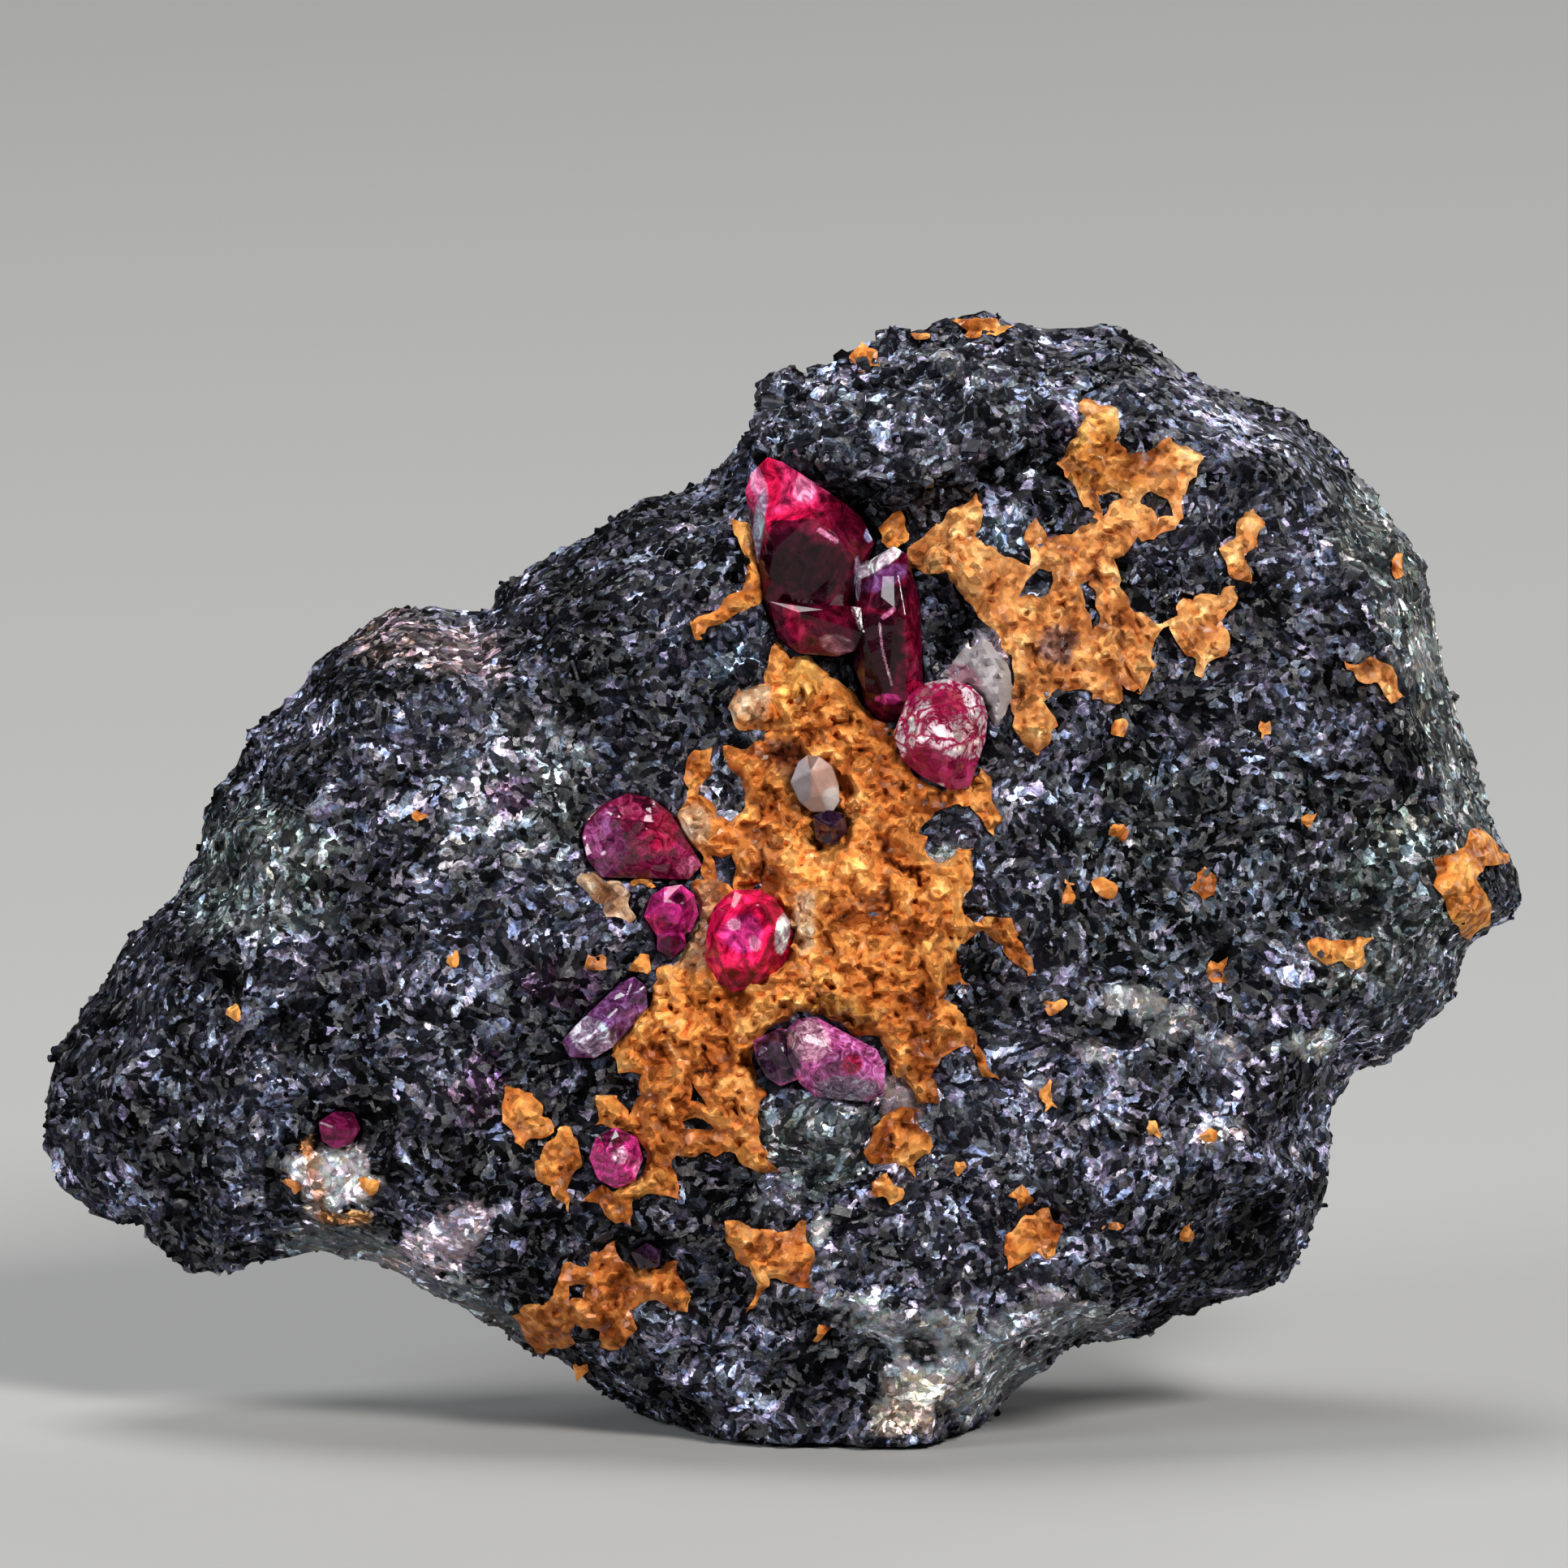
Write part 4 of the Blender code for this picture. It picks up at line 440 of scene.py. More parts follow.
def painted(spots, plain, patches, bands=(), only_front=None, ragged_edge=1.0):
    """Colour at each spot: plain, with each patch and band laid over it in turn."""
    columns, rows = grid_places(spots)
    ragged = ragged_edge * (soft_noise(spots, 2.2 * MM, 5.0) + 0.7 * soft_noise(spots, 0.7 * MM, 6.0))
    front = np.ones(len(spots)) if only_front is None else only_front
    out = np.ones((len(spots), 3)) * np.array(plain)
    for patch in patches:
        share = (near_ellipse(columns, rows, patch, ragged) * patch[6] * front)[:, None]
        out = out * (1.0 - share) + np.array(patch[5]) * share
    for line, half_width, colour, strength in bands:
        line = np.array(line, dtype=float)
        away = distance_to(np.stack([columns, rows], axis=1), line[:-1], line[1:])
        share = np.clip((1.0 + 0.5 * ragged - away / half_width) / 0.5 + 0.5, 0.0, 1.0)
        share = (share * strength * front)[:, None]
        out = out * (1.0 - share) + np.array(colour) * share
    return out


def distance_to(points, starts, ends):
    """Distance from each point to the nearest of some straight pieces."""
    best = np.full(len(points), np.inf)
    for a, b in zip(starts, ends):
        along = b - a
        t = np.clip(((points - a) @ along) / max(along @ along, 1e-18), 0.0, 1.0)
        gap = points - (a + t[:, None] * along)
        best = np.minimum(best, np.hypot(gap[:, 0], gap[:, 1]))
    return best


def distance_to_loop(points, loop):
    return distance_to(points, loop, np.roll(loop, -1, axis=0))


def inside_loop(points, loop):
    """True for the points inside a closed outline."""
    inside = np.zeros(len(points), dtype=bool)
    for a, b in zip(loop, np.roll(loop, -1, axis=0)):
        crosses = (a[1] > points[:, 1]) != (b[1] > points[:, 1])
        rise = b[1] - a[1] if abs(b[1] - a[1]) > 1e-15 else 1e-15
        at = a[0] + (points[:, 1] - a[1]) / rise * (b[0] - a[0])
        inside ^= crosses & (points[:, 0] < at)
    return inside


def resampled(loop, spacing):
    """The same closed outline with its long sides divided to about the spacing."""
    out = []
    for a, b in zip(loop, np.roll(loop, -1, axis=0)):
        pieces = max(1, round(float(np.hypot(*(b - a))) / spacing))
        out.extend(a + (b - a) * (k / pieces) for k in range(pieces))
    return np.array(out)


def hex_points(low, high, spacing, jitter, rng):
    """A slightly irregular triangular grid of points over a rectangle."""
    rows = []
    step = spacing * math.sqrt(3.0) / 2.0
    for j in range(int((high[1] - low[1]) / step) + 2):
        for i in range(int((high[0] - low[0]) / spacing) + 2):
            x = low[0] + (i + 0.5 * (j % 2)) * spacing + rng.uniform(-jitter, jitter) * spacing
            y = low[1] + j * step + rng.uniform(-jitter, jitter) * spacing
            rows.append((x, y))
    return np.array(rows)


def link(name, mesh):
    thing = bpy.data.objects.new(name, mesh)
    bpy.context.scene.collection.objects.link(thing)
    return thing


def drop(thing):
    mesh = thing.data
    bpy.data.objects.remove(thing, do_unlink=True)
    if mesh.users == 0:
        bpy.data.meshes.remove(mesh)


def bake(thing):
    """Turn the modifiers of a piece into plain mesh."""
    graph = bpy.context.evaluated_depsgraph_get()
    graph.update()
    mesh = bpy.data.meshes.new_from_object(thing.evaluated_get(graph))
    old = thing.data
    thing.modifiers.clear()
    thing.data = mesh
    bpy.data.meshes.remove(old)


def copy_of(node, name):
    """A clean copy of a solid of the part, its doubled corners merged."""
    bm = bmesh.new()
    bm.from_mesh(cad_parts[node].data)
    bmesh.ops.remove_doubles(bm, verts=bm.verts, dist=1e-6)
    bmesh.ops.recalc_face_normals(bm, faces=bm.faces)
    mesh = bpy.data.meshes.new(name)
    bm.to_mesh(mesh)
    bm.free()
    return link(name, mesh)


def tree_of(thing):
    bm = bmesh.new()
    bm.from_mesh(thing.data)
    tree = BVHTree.FromBMesh(bm)
    bm.free()
    return tree


def front_of(tree, u, w):
    """Height of the front of the rock at a place on the face, or None beside it."""
    start = Vector(from_face(u, 0.05, w))
    back = Vector((0.0, math.cos(LEAN), -math.sin(LEAN)))
    hit = tree.ray_cast(start, back)
    return None if hit[0] is None else 0.05 - hit[3]


def store_colour(thing, name, colours, domain="POINT"):
    layer = thing.data.attributes.new(name, "FLOAT_COLOR", domain)
    full = np.concatenate([colours, np.ones((len(colours), 1))], axis=1)
    layer.data.foreach_set("color", full.astype(np.float32).ravel())


def store_value(thing, name, values):
    layer = thing.data.attributes.new(name, "FLOAT", "POINT")
    layer.data.foreach_set("value", np.asarray(values, dtype=np.float32))


def new_material(name):
    made = bpy.data.materials.new(name)
    made.use_nodes = True
    return made, made.node_tree, made.node_tree.nodes["Principled BSDF"]


def add(tree, kind, values=None, **settings):
    """A node with its settings and the values of its inputs."""
    node = tree.nodes.new(kind)
    for key, value in settings.items():
        setattr(node, key, value)
    for key, value in (values or {}).items():
        node.inputs[key].default_value = value
    return node


def wire(tree, out_node, out_name, in_node, in_name):
    tree.links.new(out_node.outputs[out_name], in_node.inputs[in_name])


def ramp(tree, stops, source, output="Fac"):
    """Colours, or greys given by one number, along a value."""
    node = tree.nodes.new("ShaderNodeValToRGB")
    while len(node.color_ramp.elements) < len(stops):
        node.color_ramp.elements.new(0.5)
    for element, (place, colour) in zip(node.color_ramp.elements, stops):
        element.position = place
        element.color = (*(colour if isinstance(colour, tuple) else (colour,) * 3), 1.0)
    tree.links.new(source.outputs[output], node.inputs["Fac"])
    return node.outputs["Color"]


def mix_colours(tree, first, second, share, blend="MIX"):
    """Two colours mixed; share is a number or an output."""
    node = tree.nodes.new("ShaderNodeMix")
    node.data_type = "RGBA"
    node.blend_type = blend
    if isinstance(share, float):
        node.inputs[0].default_value = share
    else:
        tree.links.new(share, node.inputs[0])
    tree.links.new(first, node.inputs[6])
    tree.links.new(second, node.inputs[7])
    return node.outputs[2]


def times(tree, first, second):
    return mix_colours(tree, first, second, 1.0, "MULTIPLY")


def value_range(tree, source, low, high, from_low=0.0, from_high=1.0):
    node = add(tree, "ShaderNodeMapRange", {"From Min": from_low, "From Max": from_high, "To Min": low,
                                            "To Max": high})
    tree.links.new(source, node.inputs["Value"])
    return node.outputs["Result"]


def texture(tree, place, kind, scale, detail=None, roughness=None, distortion=0.0):
    """A noise or a mosaic on the piece's own coordinates."""
    if kind == "Voronoi":
        node = add(tree, "ShaderNodeTexVoronoi", {"Scale": scale, "Randomness": 1.0})
    else:
        node = add(tree, "ShaderNodeTexNoise", {"Scale": scale, "Detail": detail, "Roughness": roughness,
                                                "Distortion": distortion})
    wire(tree, place, "Object", node, "Vector")
    return node


def attribute(tree, name):
    return add(tree, "ShaderNodeAttribute", attribute_name=name)


def parts_of(tree, cells):
    """The three random values of each cell of a mosaic."""
    node = tree.nodes.new("ShaderNodeSeparateColor")
    wire(tree, cells, "Color", node, "Color")
    return node


def bump(tree, shader, source, strength, distance, under=None):
    node = add(tree, "ShaderNodeBump", {"Strength": strength, "Distance": distance})
    tree.links.new(source, node.inputs["Height"])
    if under is not None:
        tree.links.new(under, node.inputs["Normal"])
    tree.links.new(node.outputs["Normal"], shader.inputs["Normal"])
    return node.outputs["Normal"]


def tilted_cells(tree, shader, cells, tilt, under):
    """Small flat faces: each cell of a mosaic leans its own way."""
    centred = add(tree, "ShaderNodeVectorMath", {1: (0.5, 0.5, 0.5)}, operation="SUBTRACT")
    wire(tree, cells, "Color", centred, 0)
    scaled = add(tree, "ShaderNodeVectorMath", {"Scale": tilt}, operation="SCALE")
    wire(tree, centred, "Vector", scaled, 0)
    total = add(tree, "ShaderNodeVectorMath", operation="ADD")
    wire(tree, scaled, "Vector", total, 0)
    tree.links.new(under, total.inputs[1])
    unit = add(tree, "ShaderNodeVectorMath", operation="NORMALIZE")
    wire(tree, total, "Vector", unit, 0)
    tree.links.new(unit.outputs["Vector"], shader.inputs["Normal"])


def bent_cells(tree, place, scale, bend, turned=None):
    """Cells of a mosaic with crooked, drawn-out shapes; turned gives the way each group of them lies."""
    warp = texture(tree, place, "Noise", 0.8 * scale, 3.0, 0.6)
    shift = add(tree, "ShaderNodeVectorMath", {1: (0.5, 0.5, 0.5)}, operation="SUBTRACT")
    wire(tree, warp, "Color", shift, 0)
    small = add(tree, "ShaderNodeVectorMath", {"Scale": bend}, operation="SCALE")
    wire(tree, shift, "Vector", small, 0)
    total = add(tree, "ShaderNodeVectorMath", operation="ADD")
    wire(tree, place, "Object", total, 0)
    wire(tree, small, "Vector", total, 1)
    drawn = add(tree, "ShaderNodeVectorMath", {1: (0.45, 1.0, 1.1)}, operation="MULTIPLY")
    if turned is None:
        wire(tree, total, "Vector", drawn, 0)
    else:
        lie = add(tree, "ShaderNodeVectorRotate", {"Axis": (0.25, 1.0, 0.15)}, rotation_type="AXIS_ANGLE")
        wire(tree, total, "Vector", lie, "Vector")
        tree.links.new(turned, lie.inputs["Angle"])
        wire(tree, lie, "Vector", drawn, 0)
    cells = add(tree, "ShaderNodeTexVoronoi", {"Scale": scale, "Randomness": 1.0})
    wire(tree, drawn, "Vector", cells, "Vector")
    return cells


def mottled_tone(tree, place):
    """The mosaic of the schist: black crystals with grey and pale ones, paler where pale grains gather; its pale
    streaks and brightest cells are partly painted glints off crystal faces.
    """
    tone = attribute(tree, "tone_colour")
    here = attribute(tree, "pale_here")
    broad = parts_of(tree, bent_cells(tree, place, 800.0, 0.0016))
    cells = bent_cells(tree, place, 2500.0, 0.0005, value_range(tree, broad.outputs["Green"], 0.0, 9.0))
    split = parts_of(tree, cells)
    dark = ramp(tree, [(0.0, 0.05), (0.5, 0.16), (0.68, 0.8), (0.84, 3.2),
                       (1.0, 11.0)], split, "Red")
    light = ramp(tree, [(0.0, 0.12), (0.25, 0.8), (0.5, 3.5), (0.75, 9.0),
                        (1.0, 20.0)], split, "Red")
    mosaic = mix_colours(tree, dark, light, here.outputs["Fac"])
    weave = texture(tree, place, "Noise", 1700.0, 6.0, 0.74, 1.2)
    # Pale streaks of the weave: grain, and partly painted glints off crystal faces.
    fine_noise = ramp(tree, [(0.4, 0.22), (0.49, 0.75), (0.56, 1.5), (0.66, 3.0)], weave, "Fac")
    gritty_with_painted_glints = times(tree, mosaic, fine_noise)
    flecks = ramp(tree, [(0.0, 0.3), (0.4, 0.7), (0.75, 1.35), (1.0, 2.6)], broad, "Red")
    gritty_with_painted_glints = times(tree, gritty_with_painted_glints, flecks)
    bright = tree.nodes.new("ShaderNodeRGBToBW")
    wire(tree, tone, "Color", bright, "Color")
    even = value_range(tree, bright.outputs["Val"], 0.0, 0.75, 0.02, 0.12)
    soft = ramp(tree, [(0.34, 0.35), (0.5, 0.95), (0.66, 1.3)], weave, "Fac")
    calmed = mix_colours(tree, gritty_with_painted_glints, soft, even)
    toned = times(tree, tone.outputs["Color"], calmed)
    hues = ramp(tree, [(0.0, (0.78, 0.95, 1.22)), (0.4, (0.92, 1.08, 0.98)), (0.65, (1.08, 0.95, 1.16)),
                       (1.0, (1.14, 1.04, 0.84))], split, "Green")
    return times(tree, toned, hues), weave.outputs["Fac"], cells


def shine(tree, shader, source, output, strongest):
    """Most crystals are dull and black, a few are polished."""
    level = ramp(tree, [(0.0, 0.02), (0.6, 0.05), (0.8, 0.5 * strongest),
                        (1.0, strongest)], source, output)
    tree.links.new(level, shader.inputs["Specular IOR Level"])
    polish = ramp(tree, [(0.0, 0.7), (0.6, 0.6), (0.8, 0.34), (1.0, 0.14)],
                  source, output)
    tree.links.new(polish, shader.inputs["Roughness"])


def schist_skin():
    """The skin of the schist between its grains."""
    made, tree, shader = new_material("schist_skin")
    place = tree.nodes.new("ShaderNodeTexCoord")
    colour, weave, cells = mottled_tone(tree, place)
    tree.links.new(colour, shader.inputs["Base Color"])
    split = parts_of(tree, cells)
    shine(tree, shader, split, "Blue", 1.0)
    fine = texture(tree, place, "Noise", 4200.0, 3.0, 0.65)
    low = add(tree, "ShaderNodeBump", {"Strength": 0.7, "Distance": 0.0002})
    tree.links.new(weave, low.inputs["Height"])
    rough = bump(tree, shader, fine.outputs["Fac"], 0.5, 0.00008, low.outputs["Normal"])
    tilted_cells(tree, shader, cells, 0.8, rough)
    return made


def grain_material(name, stops, coat):
    """A crystal grain: the weave of the rock round it, with a tone and polish of its own."""
    made, tree, shader = new_material(name)
    place = tree.nodes.new("ShaderNodeTexCoord")
    colour, weave, _cells = mottled_tone(tree, place)
    own = attribute(tree, "own_tone")
    palette = ramp(tree, stops, own, "Fac")
    toned = times(tree, colour, palette)
    tree.links.new(toned, shader.inputs["Base Color"])
    shine(tree, shader, own, "Fac", coat)
    fine = texture(tree, place, "Noise", 3800.0, 3.0, 0.6)
    low = add(tree, "ShaderNodeBump", {"Strength": 0.5, "Distance": 0.00012})
    tree.links.new(weave, low.inputs["Height"])
    bump(tree, shader, fine.outputs["Fac"], 0.4, 0.00006, low.outputs["Normal"])
    return made


def ochre_material():
    """Crust with iron staining: rust to yellow orange, mottled, crumpled and dull with a few polished spots;
    painted shade in its pits and painted peach highlights on its raised folds.
    """
    made, tree, shader = new_material("ochre_crust")
    place = tree.nodes.new("ShaderNodeTexCoord")
    tone = attribute(tree, "tone_colour")
    broad = texture(tree, place, "Noise", 620.0, 6.0, 0.62, 0.4)
    # The peach top of this mottle is a painted highlight.
    mottle = ramp(tree, [(0.32, (0.36, 0.25, 0.2)), (0.45, (0.86, 0.76, 0.68)), (0.55, (1.12, 1.16, 1.14)),
                         (0.68, (1.55, 2.1, 2.7))], broad, "Fac")
    lift = attribute(tree, "lift")
    # Painted shade and highlight by fold height: darker in the low pits, paler peach on the raised folds.
    height = ramp(tree, [(0.0, (0.36, 0.24, 0.2)), (0.25, (0.7, 0.56, 0.5)), (0.6, (1.0, 1.0, 1.0)),
                         (1.0, (1.25, 1.45, 1.6))], lift, "Fac")
    shaded_by_height = times(tree, tone.outputs["Color"], height)
    toned = times(tree, shaded_by_height, mottle)
    specks = texture(tree, place, "Voronoi", 2400.0)
    split = parts_of(tree, specks)
    shade = ramp(tree, [(0.0, 0.5), (0.5, 1.0), (1.0, 1.5)], split, "Red")
    final = mix_colours(tree, toned, shade, 0.8, "MULTIPLY")
    tree.links.new(final, shader.inputs["Base Color"])
    shine(tree, shader, split, "Blue", 1.0)
    fine = texture(tree, place, "Noise", 3600.0, 5.0, 0.7)
    tilted_cells(tree, shader, specks, 0.8, bump(tree, shader, fine.outputs["Fac"], 0.6, 0.00012))
    return made


def ruby_material(name, transmission, density, mottling, cracks, gloss, veined=False):
    """Ruby: deep red crystal, clear in part, with paler and darker mottling and small cracks."""
    made, tree, shader = new_material(name)
    place = tree.nodes.new("ShaderNodeTexCoord")
    tone = attribute(tree, "tone_colour")
    mottle = texture(tree, place, "Noise", mottling[0], 5.0, 0.68, 1.6)
    shade = ramp(tree, [(0.36, (0.12, 0.08, 0.12)), (0.46, (0.6, 0.5, 0.6)), (0.55, (1.3, 1.3, 1.3)),
                        (0.66, (2.0, 4.6, 3.4))], mottle, "Fac")
    final = mix_colours(tree, tone.outputs["Color"], shade, mottling[1], "MULTIPLY")
    if veined:
        web = bent_cells(tree, place, 1050.0, 0.0016)
        web.feature = "DISTANCE_TO_EDGE"
        veins = ramp(tree, [(0.04, 1.0), (0.15, 0.0)], web, "Distance")
        spots = ramp(tree, [(0.41, 1.0), (0.47, 0.0)], mottle, "Fac")
        share = mix_colours(tree, veins, spots, 1.0, "LIGHTEN")
        raspberry = ramp(tree, [(0.35, DARK_RED), (0.6, (0.42, 0.012, 0.09))], mottle, "Fac")
        final = mix_colours(tree, final, raspberry, share)
    tree.links.new(final, shader.inputs["Base Color"])
    tree.links.new(value_range(tree, mottle.outputs["Fac"], 0.03, 0.15, 0.3, 0.7), shader.inputs["Roughness"])
    shader.inputs["IOR"].default_value = 1.76
    shader.inputs["Specular IOR Level"].default_value = gloss
    shader.inputs["Transmission Weight"].default_value = transmission
    fine = texture(tree, place, "Noise", 2100.0, 3.0, 0.55)
    rough = bump(tree, shader, fine.outputs["Fac"], 0.25, 0.00005)
    faces = texture(tree, place, "Voronoi", cracks[0])
    tilted_cells(tree, shader, faces, cracks[1], rough)
    if density > 0.0:
        depth = add(tree, "ShaderNodeVolumeAbsorption", {"Color": (0.75, 0.02, 0.1, 1.0), "Density": density})
        output = next(n for n in tree.nodes if n.type == "OUTPUT_MATERIAL")
        wire(tree, depth, "Volume", output, "Volume")
    return made


def flake_material(name):
    """Feldspar flake: pale pink, greyer to the left and whiter along its lower right edge."""
    made, tree, shader = new_material(name)
    place = tree.nodes.new("ShaderNodeTexCoord")
    tone = attribute(tree, "tone_colour")
    veil = texture(tree, place, "Noise", 1100.0, 5.0, 0.6)
    shade = ramp(tree, [(0.3, 0.72), (0.7, 1.25)], veil, "Fac")
    final = times(tree, tone.outputs["Color"], shade)
    tree.links.new(final, shader.inputs["Base Color"])
    shader.inputs["Roughness"].default_value = 0.38
    shader.inputs["Specular IOR Level"].default_value = 0.25
    shader.inputs["Transmission Weight"].default_value = 0.12
    bump(tree, shader, veil.outputs["Fac"], 0.4, 0.0001)
    return made


def worn_and_coarse(spots, front):
    """How smooth and how coarse the rock is at each spot, 0 to 1."""
    columns, rows = grid_places(spots)
    ragged = soft_noise(spots, 2.2 * MM, 8.0)
    worn, coarse = (np.max([near_ellipse(columns, rows, patch, ragged) * patch[5] for patch in patches], axis=0)
                    for patches in (WORN_PATCHES, COARSE_PATCHES))
    return worn * np.maximum(front, 0.5), coarse * front


def under_crust(spots, front):
    """1 where a patch of crust covers the rock."""
    u, _d, w = to_face(spots)
    points = np.stack([u, w], axis=1)
    covered = np.zeros(len(spots))
    for outline, holes, _full in CRUSTS.values():
        loop = outline_on_face(outline)
        near = ((points > loop.min(axis=0) - MM) & (points < loop.max(axis=0) + MM)).all(axis=1)
        if not near.any():
            continue
        inside = inside_loop(points[near], loop)
        for hole in holes:
            inside &= ~inside_loop(points[near], outline_on_face(hole))
        away = distance_to_loop(points[near], loop)
        covered[near] = np.maximum(covered[near], np.where(inside, np.clip(away / (0.3 * MM), 0.0, 1.0), 0.0))
    return covered * front


def near_gems(spots, reach):
    """1 beside or inside the socket of a crystal."""
    shut = np.zeros(len(spots))
    for node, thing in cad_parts.items():
        if not node.startswith(("ruby", "feldspar")):
            continue
        tree = tree_of(thing)
        low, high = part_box(node)
        near = ((spots > np.array(low) - 2 * reach) & (spots < np.array(high) + 2 * reach)).all(axis=1)
        for k in np.nonzero(near)[0]:
            hit = tree.find_nearest(Vector(spots[k]))
            shut[k] = max(shut[k], 1.0 if hit[3] < reach else 0.0)
    return shut


def make_rock():
    """The schist skin: the solid remade in fine even faces, roughened in blocks and grains."""
    rock = copy_of("matrix", "schist_body")
    fine = rock.modifiers.new("fine", "REMESH")
    fine.mode = "VOXEL"
    fine.voxel_size = SKIN_VOXEL
    fine.adaptivity = 0.0
    bake(rock)
    spots = corners_of(rock)
    normals = np.array([v.normal for v in rock.data.vertices])
    toward = np.clip(normals @ np.array([0.0, -math.cos(LEAN), math.sin(LEAN)]) * 2.5 + 0.6, 0.0, 1.0)
    worn, coarse = worn_and_coarse(spots, toward)
    covered = under_crust(spots, toward)
    shut = near_gems(spots, GEM_REACH)
    calm = (1.0 - 0.8 * worn) * (1.0 - 0.85 * covered) * (1.0 - 0.7 * shut)
    move = np.zeros(len(spots))
    for number, (wave, height) in enumerate(RELIEF_WAVES):
        move += height * soft_noise(spots, wave, 3.0 + number)
    for k, spot in enumerate(spots):
        place = Vector(spot) / BLOCK_SIZE
        middle = noise.voronoi(place)[1][0]
        turn = noise.cell_vector(middle * 31.0)
        lean = 0.9 * (place - middle).dot(turn - Vector((0.5, 0.5, 0.5)))
        move[k] += BLOCK_STEP * (turn.x - 0.5 + lean)
    spots += normals * (move * calm * (1.0 + 0.35 * coarse))[:, None]
    spots[:, 2] = np.maximum(spots[:, 2], 0.0)
    rock.data.vertices.foreach_set("co", spots.ravel())
    rock.data.update()
    rock.data.shade_smooth()
    drift = soft_noise(spots, 7.0 * MM, 2.0, 3) + 0.7 * soft_noise(spots, 2.4 * MM, 17.0, 2)
    drift = np.clip(0.5 + 1.1 * drift, 0.0, 1.0)[:, None]
    paler = 0.2 + 1.6 * soft_noise(spots, 3.0 * MM, 21.0, 4)
    columns, rows = grid_places(spots)
    for zone in GRAIN_ZONES:
        reach = np.hypot((columns - zone[0]) / zone[2], (rows - zone[1]) / zone[3])
        paler += zone[5] * np.exp(-(reach ** 2)) * toward
    cluster = np.clip(paler, 0.0, 1.0)
    stain = np.clip(soft_noise(spots, 6.0 * MM, 12.0, 3) * 2.0 - 0.5, 0.0, 1.0)[:, None] * (1.0 - toward[:, None])
    plain = np.array(DARK_ROCK) * (0.25 + 1.6 * drift)
    colours = painted(spots, plain, ROCK_PATCHES, ROCK_BANDS, toward)
    colours = colours * (1.0 - 0.6 * stain) + np.array(BROWN) * 0.6 * stain
    store_colour(rock, "tone_colour", colours)
    open_rock = (1.0 - covered) * (1.0 - shut)
    on_foot = np.where(spots[:, 2] < FOOT_HEIGHT, 0.0, 1.0)
    store_value(rock, "grain_share", open_rock * (1.0 - 0.75 * worn) * on_foot)
    store_value(rock, "pale_share", open_rock * (1.0 - 0.6 * worn) * on_foot * cluster * (1.0 - 0.7 * coarse))
    store_value(rock, "pale_here", cluster)
    store_value(rock, "coarse_share", open_rock * coarse * on_foot)
    return rock


